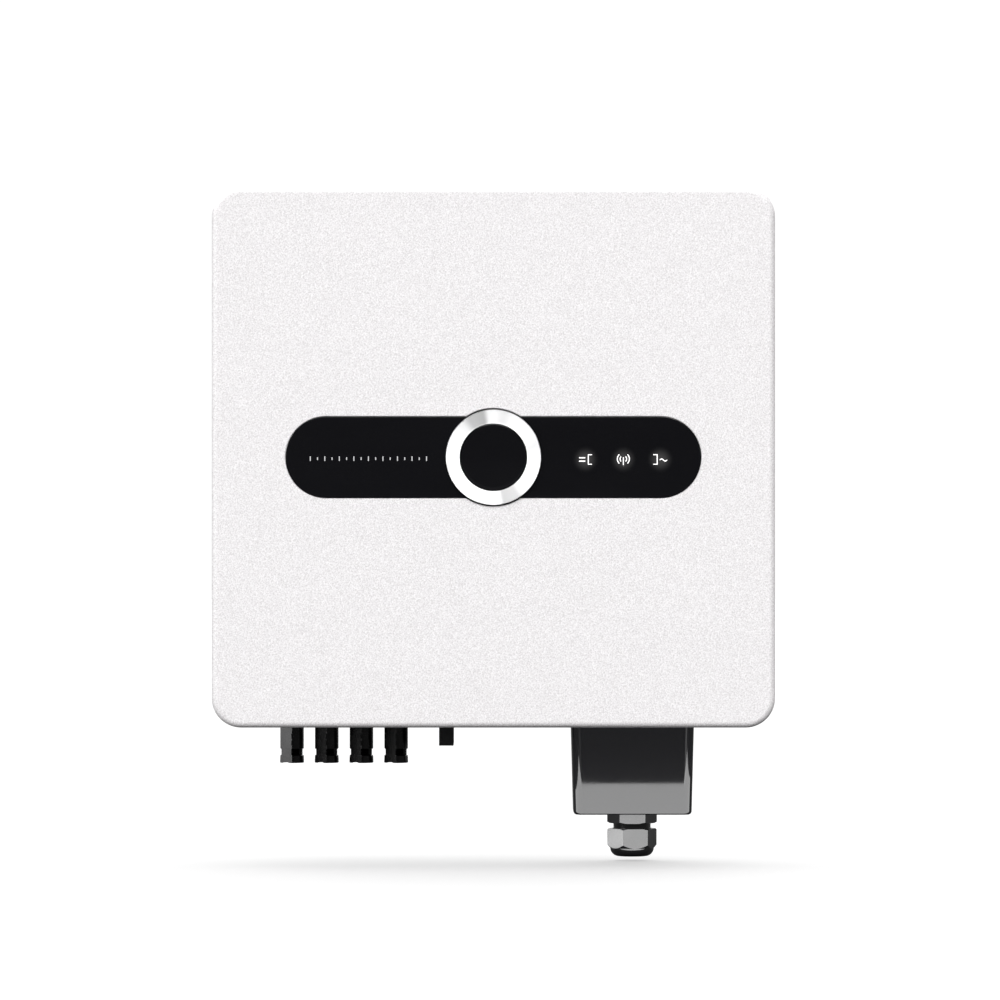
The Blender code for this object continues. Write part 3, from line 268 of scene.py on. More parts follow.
def gloss_black(name, painted_glow_places=()):
    """Polished black, with a film of dust and faint wipe marks. Round the lit icons it has a painted glow:
    it gives off light of its own a little way out from each.
    """
    made = Surface(name, (0.0062, 0.0062, 0.0074), 0.07, Specular_IOR_Level=0.5)
    wipes = made.noise(34 * MM, detail=6.0, stretch=(0.35, 1, 1))
    made.set("Roughness", made.between(wipes, 0.05, 0.13))
    dust = made.noise(0.6 * MM, detail=2.0)
    made.set("Base Color", made.tint(dust, (0.0058, 0.0058, 0.007), (0.011, 0.011, 0.0125), 0.55, 0.85))
    # Painted glow: the panel gives off light near each lit icon.
    if painted_glow_places:
        total = 0.0
        for place in painted_glow_places:
            away = made.node(
                "ShaderNodeVectorMath", {0: made.place, 1: place}, operation="DISTANCE"
            ).outputs["Value"]
            near = made.node(
                "ShaderNodeMapRange",
                {"Value": away, "From Min": PAINTED_GLOW_REACH, "From Max": 0.0},
                interpolation_type="SMOOTHERSTEP",
            ).outputs["Result"]
            total = made.math("ADD", near, total)
        made.set("Emission Color", (1, 0.98, 0.97, 1))
        made.set("Emission Strength", made.math("MULTIPLY", total, PAINTED_GLOW_STRENGTH))
    return made.material


def moulded(name, colour, roughness):
    """Moulded plastic: spark-eroded grain, patches that are polished by handling, and a faint bloom."""
    made = Surface(name, colour, roughness, Specular_IOR_Level=0.5)
    patches = made.noise(12 * MM, detail=4.0)
    made.set("Roughness", made.between(patches, roughness * 0.82, roughness * 1.18))
    bloom = made.noise(3 * MM, detail=4.0)
    made.set("Base Color", made.tint(bloom, scaled(colour, 0.85), scaled(colour, 1.25)))
    made.bump(made.noise(0.35 * MM, detail=2.0), 0.008 * MM)
    return made.material


def polished(name, colour, roughness, level=0.5):
    """High-gloss moulding: a very slow waviness, a dust film and fine handling haze."""
    made = Surface(name, colour, roughness, Specular_IOR_Level=level, Coat_Weight=0.05, Coat_Roughness=0.14)
    haze = made.noise(18 * MM, detail=5.0)
    made.set("Roughness", made.between(haze, roughness * 0.8, roughness * 1.25))
    dust = made.noise(0.5 * MM, detail=2.0)
    made.set("Base Color", made.tint(dust, colour, scaled(colour, 1.6), 0.5, 0.8))
    made.bump(made.noise(60 * MM, detail=0.0), 0.004 * MM)
    return made.material


def rubber():
    made = Surface("seal_rubber", (0.02, 0.02, 0.02), 0.75, Specular_IOR_Level=0.3)
    dust = made.noise(1.8 * MM, detail=5.0)
    made.set("Base Color", made.tint(dust, (0.015, 0.015, 0.015), (0.035, 0.034, 0.033)))
    made.set("Roughness", made.between(dust, 0.65, 0.9))
    made.bump(made.noise(0.4 * MM), 0.02 * MM)
    return made.material


def clear_plastic():
    made = Surface("clear_plastic", (0.85, 0.87, 0.9), 0.12, Transmission_Weight=0.9, IOR=1.49)
    made.set("Roughness", made.between(made.noise(2 * MM), 0.05, 0.2))
    made.bump(made.noise(5 * MM), 0.02 * MM)
    return made.material


def circuit_board():
    """Solder mask over copper: darker where the copper runs, in a fine net of tracks."""
    made = Surface("circuit_board", (0.02, 0.14, 0.06), 0.32)
    tracks = made.cells(5 * MM, feature="DISTANCE_TO_EDGE")
    made.set("Base Color", made.tint(tracks, (0.03, 0.2, 0.085), (0.012, 0.09, 0.04), 0.06, 0.1))
    made.set("Roughness", made.between(made.noise(4 * MM), 0.25, 0.45))
    made.bump(made.between(tracks, 1, 0, 0.06, 0.1), 0.035 * MM)
    return made.material


def tinned():
    made = Surface("tinned_contact", (0.75, 0.74, 0.7), 0.3, 1.0)
    clouds = made.noise(1.2 * MM, detail=4.0)
    made.set("Base Color", made.tint(clouds, (0.64, 0.62, 0.57), (0.8, 0.79, 0.76)))
    made.set("Roughness", made.between(clouds, 0.2, 0.42))
    made.bump(made.noise(0.3 * MM), 0.004 * MM)
    return made.material


def capacitor_sleeve():
    made = Surface("capacitor_sleeve", (0.03, 0.03, 0.06), 0.28)
    film = made.noise(8 * MM, detail=3.0, stretch=(1, 0.2, 1))
    made.set("Base Color", made.tint(film, (0.02, 0.02, 0.045), (0.04, 0.04, 0.08)))
    made.set("Roughness", made.between(film, 0.2, 0.38))
    made.bump(film, 0.05 * MM)
    return made.material


def winding():
    """Enamelled wire laid side by side: bands that run round the ring core's section."""
    made = Surface("winding", (0.55, 0.25, 0.1), 0.3, 1.0)
    wires = made.node(
        "ShaderNodeTexWave",
        {"Vector": made.place, "Scale": 260.0, "Distortion": 1.2, "Detail": 1.0},
        bands_direction="DIAGONAL",
    ).outputs["Fac"]
    made.set("Base Color", made.tint(wires, (0.32, 0.12, 0.04), (0.66, 0.31, 0.13), 0.1, 0.8))
    made.set("Roughness", made.between(wires, 0.42, 0.22, 0.1, 0.8))
    made.bump(wires, 0.25 * MM)
    return made.material


def lit(name, colour, strength):
    """A back-lit mark, or a printed one given a painted glow: its light is a little uneven, as a light
    guide's is.
    """
    made = Surface(name, scaled(colour, 0.8), 0.35)
    made.set("Emission Color", (*colour, 1))
    made.set("Emission Strength", made.between(made.noise(3 * MM), strength * 0.92, strength * 1.08))
    return made.material


# Mesh helpers


def arc(centre, radius, start, end, steps):
    """Points on an arc, both ends included; angles in radians."""
    angles = [start + (end - start) * i / steps for i in range(steps + 1)]
    return [(centre[0] + radius * cos(a), centre[1] + radius * sin(a)) for a in angles]


def circle(radius, steps=TURN_STEPS):
    return arc((0, 0), radius, 0, 2 * pi, steps)[:-1]


def rounded_rectangle(width, height, radius, steps=14):
    """Points round the outline, the same number for every size."""
    outline = []
    for turn, (side, up) in enumerate(((1, 1), (-1, 1), (-1, -1), (1, -1))):
        corner = (side * (width / 2 - radius), up * (height / 2 - radius))
        outline += arc(corner, radius, turn * pi / 2, (turn + 1) * pi / 2, steps)
    return outline


def facing_front(outline, y):
    """An outline of (right, up) points round the casing's middle, as corners in the plane at this Y."""
    return [Vector((across, y, CASE_Z + up)) for across, up in outline]


def level(outline, z):
    """An outline of (right, back) points as corners in the plane at this height."""
    return [Vector((across, back, z)) for across, back in outline]


def centre_line(node):
    """The point at height 0 on the upright line through the middle of a CAD node."""
    low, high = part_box(node)
    return ((low.x + high.x) / 2, (low.y + high.y) / 2, 0)


def add_ring(bm, corners):
    verts = [bm.verts.new(corner) for corner in corners]
    for a, b in zip(verts, verts[1:] + verts[:1]):
        bm.edges.new((a, b))
    return verts


def skin(bm, first, second):
    """Joins two rings of the same length with four-sided faces."""
    count = len(first)
    for i in range(count):
        j = (i + 1) % count
        bm.faces.new((first[i], first[j], second[j], second[i]))


def loft(bm, rings):
    """Skins a row of rings, and returns their vertices."""
    made = [add_ring(bm, ring) for ring in rings]
    for first, second in zip(made, made[1:]):
        skin(bm, first, second)
    return made


def ring_edges(bm, ring):
    return [bm.edges.get((a, b)) for a, b in zip(ring, ring[1:] + ring[:1])]


def fill_between(bm, outer, inner):
    """A flat face that spans from one ring to a ring inside it."""
    edges = ring_edges(bm, outer) + ring_edges(bm, inner)
    bmesh.ops.triangle_fill(bm, use_beauty=True, use_dissolve=False, edges=edges)


def turned_mesh(profile, steps=TURN_STEPS):
    """A body of revolution about Z from (radius, height) points. A zero radius closes an end, and
    with neither end closed the profile is a loop."""
    bm = bmesh.new()
    rings = []
    for radius, height in profile:
        if radius > 0:
            rings.append(add_ring(bm, level(circle(radius, steps), height)))
        else:
            rings.append([bm.verts.new((0, 0, height))])
    pairs = list(zip(rings, rings[1:]))
    if len(rings[0]) > 1 and len(rings[-1]) > 1:
        pairs.append((rings[-1], rings[0]))
    for first, second in pairs:
        if len(first) > 1 and len(second) > 1:
            skin(bm, first, second)
            continue
        tip, ring = (first, second) if len(first) == 1 else (second, first)
        for a, b in zip(ring, ring[1:] + ring[:1]):
            bm.faces.new((tip[0], a, b))
    return bm


def bend(start, corner, end, steps=4):
    """Points on a smooth bend from start to end, which heads for the corner between them."""
    points = []
    for step in range(steps + 1):
        share = step / steps
        point = start * (1 - share) ** 2 + corner * 2 * share * (1 - share) + end * share**2
        points.append(tuple(point))
    return points


def rounded_corners(points, radii):
    """A profile with its corners rounded: one radius for each point, 0 to leave it sharp. It is a
    loop unless its first and last points lie on the axis."""
    rounded = []
    count = len(points)
    for i, (point, radius) in enumerate(zip(points, radii)):
        here = Vector(point)
        if not radius:
            rounded.append(tuple(here))
            continue
        before = Vector(points[i - 1]) - here
        after = Vector(points[(i + 1) % count]) - here
        reach = min(radius, before.length * 0.49, after.length * 0.49)
        start = here + before.normalized() * reach
        end = here + after.normalized() * reach
        rounded += bend(start, here, end)
    return rounded


def prism_mesh(outline, low, high, edge=0.0):
    """A level slab between two heights, with its top and bottom edges rounded towards the middle."""
    bm = bmesh.new()
    centre = Vector((sum(p[0] for p in outline), sum(p[1] for p in outline))) / len(outline)
    rows = []
    for step in range(EDGE_STEPS + 1 if edge else 1):
        turn = step / EDGE_STEPS * pi / 2
        rows.append((edge * (1 - sin(turn)), low + edge * (1 - cos(turn))))
    rows += [(inset, high - (height - low)) for inset, height in reversed(rows)]
    made = []
    for inset, height in rows:
        shrunk = []
        for point in outline:
            arm = Vector(point) - centre
            shrunk.append(tuple(centre + arm * (1 - inset / arm.length)))
        made.append(level(shrunk, height))
    lofted = loft(bm, made)
    bm.faces.new(lofted[0])
    bm.faces.new(lofted[-1])
    return bm


def slot_name(look):
    """The name it was made with, without the number that Blender adds to a second of that name."""
    return look.name.split(".")[0]


def loose_object(name, bm):
    """An object in the scene with this mesh, its doubled corners merged and its faces turned out."""
    bmesh.ops.remove_doubles(bm, verts=bm.verts, dist=MERGE_DISTANCE)
    bmesh.ops.recalc_face_normals(bm, faces=bm.faces)
    mesh = bpy.data.meshes.new(name)
    bm.to_mesh(mesh)
    bm.free()
    obj = bpy.data.objects.new(name, mesh)
    bpy.context.scene.collection.objects.link(obj)
    return obj


def piece(
    name, bm, look, body, replaced=(), place=(0, 0, 0), turn=(0, 0, 0), angle=SHARP_ANGLE
):
    """Makes the mesh an object with its look, which rides on a body and stands for CAD nodes."""
    obj = loose_object(name, bm)
    obj.data.materials.append(look)
    obj.data.shade_smooth()
    obj.data.set_sharp_from_angle(angle=angle)
    obj.location = place
    obj.rotation_euler = turn
    weighted = obj.modifiers.new("normals", "WEIGHTED_NORMAL")
    weighted.keep_sharp = True
    if replaced:
        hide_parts(*replaced)
    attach(obj, body)
    return obj


def combined(bm, others, operation="DIFFERENCE"):
    """The mesh after each of the others is cut from it or joined on."""
    target = loose_object("target", bm)
    tools = [loose_object(f"tool_{i}", other) for i, other in enumerate(others)]
    for tool in tools:
        modifier = target.modifiers.new(tool.name, "BOOLEAN")
        modifier.operation = operation
        modifier.solver = "EXACT"
        modifier.object = tool
    bpy.context.view_layer.update()
    evaluated = target.evaluated_get(bpy.context.evaluated_depsgraph_get())
    mesh = bpy.data.meshes.new_from_object(evaluated)
    for obj in (target, *tools):
        bpy.data.objects.remove(obj, do_unlink=True)
    result = bmesh.new()
    result.from_mesh(mesh)
    bpy.data.meshes.remove(mesh)
    return result


def box_mesh(low, high):
    low, high = Vector(low), Vector(high)
    bm = bmesh.new()
    place = Matrix.Translation((low + high) / 2) @ Matrix.Diagonal((*(high - low), 1))
    bmesh.ops.create_cube(bm, size=1, matrix=place)
    return bm


def refined(node, look, body, edge):
    """A copy of a CAD node with its edges rounded, in place of the node."""
    bm = bmesh.new()
    bm.from_mesh(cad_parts[node].data)
    bmesh.ops.remove_doubles(bm, verts=bm.verts, dist=MERGE_DISTANCE)
    bmesh.ops.dissolve_limit(bm, angle_limit=radians(1), verts=bm.verts, edges=bm.edges)
    obj = piece(f"{node}_finished", bm, look, body, (node,))
    bevel = obj.modifiers.new("edges", "BEVEL")
    bevel.width = edge
    bevel.segments = 2
    bevel.limit_method = "ANGLE"
    bevel.angle_limit = radians(40)
    bevel.miter_outer = "MITER_ARC"
    obj.modifiers.move(1, 0)
    return obj


# Casing

CASE_CORNER = 22 * MM
CASE_EDGE_ROUND = 4.5 * MM
COVER_WALL = 3 * MM
PANEL_POCKET = 1.6 * MM


def make_front_cover(look):
    """A deep tray with a soft edge, and a pocket for the display panel with a fine lead-in."""
    rim = 0.5 * MM
    inside = CASE_FRONT + COVER_WALL

    def outline(inset):
        return rounded_rectangle(
            CASE_WIDTH - 2 * inset, CASE_HEIGHT - 2 * inset, max(CASE_CORNER - inset, 1 * MM)
        )

    rings = [
        facing_front(outline(COVER_WALL + 2 * MM), inside),
        facing_front(outline(COVER_WALL), inside + 2 * MM),
        facing_front(outline(COVER_WALL), CASE_BACK),
        facing_front(outline(rim), CASE_BACK),
        facing_front(outline(0), CASE_BACK - rim),
    ]
    steps = 10
    for step in range(steps + 1):
        turn = step / steps * pi / 2
        inset = CASE_EDGE_ROUND * (1 - cos(turn))
        rings.append(
            facing_front(outline(inset), CASE_FRONT + CASE_EDGE_ROUND * (1 - sin(turn)))
        )
    bm = bmesh.new()
    made = loft(bm, rings)
    lead_in = 0.3 * MM
    steps_in = ((GAP + lead_in, 0), (GAP, lead_in), (GAP, PANEL_POCKET))
    pocket = loft(bm, [facing_front(panel_outline(grow), CASE_FRONT + deep) for grow, deep in steps_in])
    round_hole = circle(SKIRT_RADIUS + 2 * GAP)
    hole = loft(bm, [facing_front(round_hole, y) for y in (CASE_FRONT + PANEL_POCKET, inside)])
    fill_between(bm, made[-1], pocket[0])
    fill_between(bm, pocket[-1], hole[0])
    fill_between(bm, made[0], hole[-1])
    piece("cover_shell", bm, look, "inverter", ("front_cover",))


# Display panel, ring and button

PANEL_LENGTH = panel_high.x - panel_low.x
PANEL_HEIGHT = 60.7 * MM
PANEL_DISC_RADIUS = (panel_high.z - panel_low.z) / 2
PANEL_EDGE = 0.35 * MM
ring_low, ring_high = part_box("chrome_ring")
RING_OUTER = (ring_high.x - ring_low.x) / 2
RING_INNER = 25.1 * MM
RING_HEIGHT = 3 * MM
SKIRT_RADIUS = 26.8 * MM
SKIRT_LENGTH = 6 * MM
ICON_X = (68.6 * MM, 96.8 * MM, 124.2 * MM)
ICON_Z = CASE_Z - 1.6 * MM
ICON_HALF = 3.55 * MM
LINE_WIDTH = 0.65 * MM
LEAD_WIDTH = 0.8 * MM


def panel_outline(grow):
    """A bar with round ends, and a disc in its middle that stands out above and below it."""
    half = PANEL_HEIGHT / 2 + grow
    disc = PANEL_DISC_RADIUS + grow
    end = PANEL_LENGTH / 2 - PANEL_HEIGHT / 2
    meet = asin(half / disc)
    outline = arc((end, 0), half, -pi / 2, pi / 2, 40)
    outline += arc((0, 0), disc, meet, pi - meet, 24)
    outline += arc((-end, 0), half, pi / 2, 3 * pi / 2, 40)
    outline += arc((0, 0), disc, pi + meet, 2 * pi - meet, 24)
    return outline


def make_display_panel(look):
    bm = bmesh.new()
    back = panel_high.y
    rings = []
    steps = 4
    for step in range(steps + 1):
        turn = step / steps * pi / 2
        inset = PANEL_EDGE * (1 - sin(turn))
        rings.append(
            facing_front(panel_outline(-inset), PANEL_FRONT + PANEL_EDGE * (1 - cos(turn)))
        )
    rings.append(facing_front(panel_outline(0), back))
    made = loft(bm, rings)
    round_hole = circle(SKIRT_RADIUS + GAP)
    hole = loft(bm, [facing_front(round_hole, y) for y in (PANEL_FRONT, back)])
    fill_between(bm, made[0], hole[0])
    fill_between(bm, made[-1], hole[1])
    piece("panel_glass", bm, look, "inverter", ("display_panel",))


def make_chrome_ring(look):
    """Its origin is on the ring's own axis, and its front face slopes back to the outer edge."""
    profile = rounded_corners(
        [
            (RING_INNER, RING_HEIGHT),
            (RING_INNER + 0.7 * MM, RING_HEIGHT),
            (RING_OUTER, RING_HEIGHT - 1.3 * MM),
            (RING_OUTER, 0),
            (SKIRT_RADIUS, 0),
            (SKIRT_RADIUS, -SKIRT_LENGTH),
            (RING_INNER, -SKIRT_LENGTH),
        ],
        [0.25 * MM, 0.4 * MM, 0.5 * MM, 0.2 * MM, 0, 0.3 * MM, 0.3 * MM],
    )
    bm = turned_mesh(profile, steps=160)
    bm.transform(Matrix.Rotation(pi / 2, 4, "X"))
    place = (0, ring_low.y + RING_HEIGHT, CASE_Z)
    return piece("ring_bezel", bm, look, "inverter", ("chrome_ring",), place=place)


def make_button(look):
    """A slightly crowned disc on a stem."""
    low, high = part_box("centre_button")
    radius = (high.x - low.x) / 2
    crown = 0.08 * MM
    edge = 0.5 * MM
    cap = 2.2 * MM
    stem_radius = 4 * MM
    steps = 12
    dome = [(radius * 0.97 * i / steps, -crown * (i / steps) ** 2) for i in range(steps + 1)]
    length = high.y - low.y
    profile = dome + [
        (radius - edge * 0.3, -crown - edge * 0.3),
        (radius, -crown - edge),
        (radius, -cap),
        (stem_radius, -cap),
        (stem_radius, -length),
        (0, -length),
    ]
    bm = turned_mesh(profile, steps=128)
    place = (0, low.y, CASE_Z)
    piece("button_cap", bm, look, "button", ("centre_button",), place=place, turn=FACING_FRONT)


def ribbon(bm, points, width):
    """A flat raised line of this width through the points, on the panel's front."""
    points = [Vector(p) for p in points]
    left, right = [], []
    for i, point in enumerate(points):
        before = (point - points[max(i - 1, 0)]).normalized()
        after = (points[min(i + 1, len(points) - 1)] - point).normalized()
        along = (before + after).normalized()
        side = Vector((-along.y, along.x)) * width / 2
        if before.length and after.length:
            side /= before.dot(along)
        left.append(point + side)
        right.append(point - side)
    rows = []
    for y in (PANEL_FRONT - MARK_GAP, PANEL_FRONT - MARK_HEIGHT):
        rows.append([bm.verts.new((p.x, y, p.y)) for p in left])
        rows.append([bm.verts.new((p.x, y, p.y)) for p in right])
    around = [rows[0], rows[1], rows[3], rows[2]]
    for i in range(len(points) - 1):
        for a, b in zip(around, around[1:] + around[:1]):
            bm.faces.new((a[i], a[i + 1], b[i + 1], b[i]))
    bm.faces.new([row[0] for row in around])
    bm.faces.new([row[-1] for row in around])


def bracket_mark(bm, x, reach, line):
    """A square bracket that opens to the right, or to the left where the reach is negative."""
    top, bottom = ICON_Z + ICON_HALF, ICON_Z - ICON_HALF
    ribbon(bm, [(x + reach, top), (x, top), (x, bottom), (x + reach, bottom)], line)


def source_icon(bm):
    """Two leads into a bracket."""
    x = ICON_X[0]
    for up in (-1.25 * MM, 1.25 * MM):
        ribbon(bm, [(x - 4.75 * MM, ICON_Z + up), (x - 0.2 * MM, ICON_Z + up)], LEAD_WIDTH)
    bracket_mark(bm, x + 2.1 * MM, 2.7 * MM, LINE_WIDTH)


def radio_icon(bm):
    """Two pairs of waves round the top of a mast."""
    x, z = ICON_X[1], ICON_Z + 0.4 * MM
    half_arc = 48
    for radius in (2.45 * MM, 4.5 * MM):
        for middle in (0, 180):
            start, end = radians(middle - half_arc), radians(middle + half_arc)
            ribbon(bm, arc((x, z), radius, start, end, 14), LINE_WIDTH)
    ribbon(bm, [(x, z + 1.2 * MM), (x, z - 4.6 * MM)], LINE_WIDTH)


def load_icon(bm):
    """A bracket round the start of a wave."""
    x = ICON_X[2]
    bracket_mark(bm, x - 2.2 * MM, -2.9 * MM, LINE_WIDTH)
    pitch, swing = 0.45 * MM, 0.8 * MM
    middle = ICON_Z - 0.4 * MM
    wave = [(x + (i - 0.6) * pitch, middle + swing * sin(i / 6 * pi)) for i in range(13)]
    ribbon(bm, wave, LINE_WIDTH)


def make_icons(look):
    """Three generic back-lit marks: a source, radio waves, and a load."""
    for name, draw in (("source", source_icon), ("radio", radio_icon), ("load", load_icon)):
        bm = bmesh.new()
        draw(bm)
        piece(f"icon_{name}", bm, look, "inverter")


def make_dashes(look):
    """A plain row of ticks, long and short by turns, where a line of small print would be."""
    left, right = -136.4 * MM, -49.8 * MM
    count = 17
    width = 0.75 * MM
    middle = CASE_Z - 1 * MM
    bm = bmesh.new()
    for i in range(count):
        x = left + (right - left) * i / (count - 1)
        half = (1.7 if i % 2 == 0 else 1.0) * MM
        ribbon(bm, [(x, middle + half), (x, middle - half)], width)
    piece("panel_ticks", bm, look, "inverter")


# Ports


SOCKET_RADIUS = 8.9 * MM
SOCKET_BORE = 6.2 * MM
SOCKET_MOUTH = 7.4 * MM
SOCKET_DEPTH = 24 * MM
SOCKET_FLANGE = 3.2 * MM
SLIT_HALF = 0.35 * MM
FLAT_EDGE = 0.35 * MM


def socket_section(out):
    """The outline at this radius: round, with a flat from the left side to the front's middle."""
    round_part = arc((0, 0), out, -pi / 2 + 0.02, pi, 60)
    flat_front = Vector((-FLAT_EDGE, -SOCKET_RADIUS + FLAT_EDGE))
    flat_side = Vector((-SOCKET_RADIUS + FLAT_EDGE, -1.4 * MM))
    share = (out - FLAT_EDGE + flat_front.x) / (flat_front.x - flat_side.x)
    end = flat_front.lerp(flat_side, share)
    return [tuple(flat_front)] + round_part + [(-out, end.y + 0.5 * MM), tuple(end)]


def socket_body(bottom, top, waist_low, waist_high):
    """The socket's skin, with a flared mouth and an indented waist, from bottom to top."""
    radius = SOCKET_RADIUS
    flare = 0.2 * MM
    waist = radius - 0.9 * MM
    lip = radius - 0.25 * MM
    rows = [
        (radius - 0.5 * MM, bottom),
        (radius + flare - 0.1 * MM, bottom + 0.25 * MM),
        (radius + flare, bottom + 0.9 * MM),
        (radius, waist_low - 0.35 * MM),
        (lip, waist_low),
        (waist, waist_low + 0.25 * MM),
        (waist, waist_high - 0.25 * MM),
        (lip, waist_high),
        (radius, waist_high + 0.35 * MM),
        (radius, top),
    ]
    bm = bmesh.new()
    made = loft(bm, [level(socket_section(out), z) for out, z in rows])
    bm.faces.new(made[0])
    bm.faces.new(made[-1])
    return bm


def socket_cuts(bottom, waist_low, waist_high):
    """What is cut from a socket: its bore, a latch window, a scoop at the left, and two slits."""
    bore = turned_mesh(
        [
            (0, bottom - 1 * MM),
            (SOCKET_MOUTH, bottom - 1 * MM),
            (SOCKET_MOUTH, bottom),
            (SOCKET_BORE, bottom + SOCKET_MOUTH - SOCKET_BORE),
            (SOCKET_BORE, bottom + SOCKET_DEPTH),
            (0, bottom + SOCKET_DEPTH),
        ]
    )
    window = box_mesh(
        (0.1 * MM, -SOCKET_RADIUS - 2 * MM, waist_low + 0.2 * MM),
        (SOCKET_RADIUS - 1.4 * MM, -3 * MM, waist_high),
    )
    scoop = bmesh.new()
    bmesh.ops.create_uvsphere(scoop, u_segments=48, v_segments=24, radius=7.5 * MM)
    scoop.transform(Matrix.Translation((-6.6 * MM, -9.6 * MM, case_low.z + 3.4 * MM)))
    cuts = [bore, window, scoop]
    for low, high in ((2.6 * MM, 6.4 * MM), (7.6 * MM, 11.6 * MM)):
        cuts.append(
            box_mesh(
                (-SLIT_HALF, -SOCKET_RADIUS - 1 * MM, waist_high + low),
                (SLIT_HALF, -SOCKET_RADIUS + 1.6 * MM, waist_high + high),
            )
        )
    return cuts


def make_dc_connector(number, look):
    """A socket with a flat keying face at the left front, a latch window and an indented waist."""
    node = f"dc_connector_{number}"
    low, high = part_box(node)
    place = centre_line(node)
    flange = (high.x - low.x) / 2
    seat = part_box(f"dc_flange_seal_{number}")[0].z - GAP
    flange_bottom = seat - SOCKET_FLANGE
    waist_low, waist_high = low.z + 5.8 * MM, low.z + 10.7 * MM
    body = socket_body(low.z, flange_bottom, waist_low, waist_high)
    shell = combined(body, socket_cuts(low.z, waist_low, waist_high))
    name = f"dc_socket_shell_{number}"
    made = piece(name, shell, look, "inverter", (node,), place=place, angle=radians(28))
    inner = SOCKET_RADIUS - 0.3 * MM
    outline = [(flange, flange_bottom), (flange, seat), (inner, seat), (inner, flange_bottom)]
    collar = turned_mesh(rounded_corners(outline, [0.6 * MM, 0.3 * MM, 0, 0]))
    piece(f"dc_socket_collar_{number}", collar, look, "inverter", place=place)
    return made


GRIPS = 24
GRIP_RADIUS = 0.9 * MM
HANDLE_BAR_WIDTH = 11 * MM
HANDLE_DISC = 6 * MM


def grip_notches(reach, top):
    """Rods round a disc of this radius, which cut the notches of its grip."""
    low, high = top - HANDLE_DISC - 1 * MM, top + 1 * MM
    notches = []
    for i in range(GRIPS):
        angle = (i + 0.5) * 2 * pi / GRIPS
        notch = turned_mesh([(0, high), (GRIP_RADIUS, high), (GRIP_RADIUS, low), (0, low)], 16)
        out = reach + 0.4 * MM
        notch.transform(Matrix.Translation((cos(angle) * out, sin(angle) * out, 0)))
        notches.append(notch)
    return notches


def make_isolator_handle(look):
    """A notched disc with a bar across it, and a small nub at each side of the bar's front end."""
    low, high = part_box("isolator_handle")
    place = centre_line("isolator_handle")
    reach = (high.y - low.y) / 2
    disc_bottom = high.z - HANDLE_DISC
    profile = rounded_corners(
        [(0, high.z), (reach, high.z), (reach, disc_bottom), (0, disc_bottom)],
        [0, 0.4 * MM, 1.2 * MM, 0],
    )
    disc = combined(turned_mesh(profile), grip_notches(reach, high.z))
    piece("isolator_disc", disc, look, "isolator", ("isolator_handle",), place=place)
    outline = rounded_rectangle(HANDLE_BAR_WIDTH, 2 * (reach - 0.5 * MM), 0.9 * MM, steps=4)
    bar = prism_mesh(outline, low.z, disc_bottom + 0.5 * MM, edge=0.7 * MM)
    piece("isolator_bar", bar, look, "isolator", place=place)
    small = rounded_rectangle(1.4 * MM, 1.6 * MM, 0.4 * MM, 3)
    for name, side in (("left", -1), ("right", 1)):
        aside = side * (HANDLE_BAR_WIDTH / 2 - 0.9 * MM)
        outline = [(across + aside, back - reach + 1 * MM) for across, back in small]
        nub = prism_mesh(outline, low.z, low.z + 2 * MM, edge=0.3 * MM)
        piece(f"isolator_nub_{name}", nub, look, "isolator", place=place)


GLAND_FLATS = 33 * MM
GLAND_CORNER = GLAND_FLATS / 2 / cos(pi / 6)
GLAND_REACH = GLAND_CORNER + 0.1 * MM
GLAND_BORE = 10.2 * MM
GLAND_NECK = 14.1 * MM
GLAND_THREAD = 12.4 * MM
GLAND_ROOT = 11.8 * MM
THREAD_TURNS = 10
NUT_TURN = radians(7.5)


def make_wiring_box(look):
    """A deep drawn-in box whose sides lean, with a soft lower edge and a screwed flange."""
    low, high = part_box("wiring_box")
    bottom_width = 89.2 * MM
    depth = 50 * MM
    top = high.z
    flange = 3.5 * MM
    top_width = high.x - low.x - 22 * MM
    side_round, end_round = 6.8 * MM, 2.6 * MM

    def outline(z, inset=0.0):
        share = (z - low.z) / (top - low.z)
        width = bottom_width + (top_width - bottom_width) * share
        return rounded_rectangle(width - 2 * inset, depth - 2 * inset, side_round - inset)

    bm = bmesh.new()
    rows = []
    steps = 8
    for step in range(steps + 1):
        turn = step / steps * pi / 2
        rows.append((end_round * (1 - sin(turn)), low.z + end_round * (1 - cos(turn))))
    rings = [level(outline(z, inset), z) for inset, z in rows]
    rings += [level(outline(z), z) for z in (low.z + 20 * MM, low.z + 45 * MM, top - flange)]
    soft = 0.5 * MM
    width, length = high.x - low.x, high.y - low.y
    wide = rounded_rectangle(width, length, side_round)
    wide_inset = rounded_rectangle(width - 2 * soft, length - 2 * soft, side_round - soft)
    rings += [
        level(wide_inset, top - flange),
        level(wide, top - flange + soft),
        level(wide, top - 0.3 * MM),
        level(wide_inset, top),
    ]
    wall = 2.5 * MM
    walls = 2 * wall + 2 * MM
    inner_top = rounded_rectangle(top_width - walls, depth - walls, 4 * MM)
    inner_bottom = rounded_rectangle(bottom_width - walls, depth - walls, 4 * MM)
    rings += [level(inner_top, top), level(inner_bottom, low.z + wall)]
    made = loft(bm, rings)
    hole = circle(GLAND_THREAD + GAP)
    gland_hole = loft(bm, [level(hole, low.z), level(hole, low.z + wall)])
    fill_between(bm, made[0], gland_hole[0])
    fill_between(bm, made[-1], gland_hole[1])
    place = centre_line("gland_body")
    return piece("wiring_box_shell", bm, look, "inverter", ("wiring_box",), place=place)


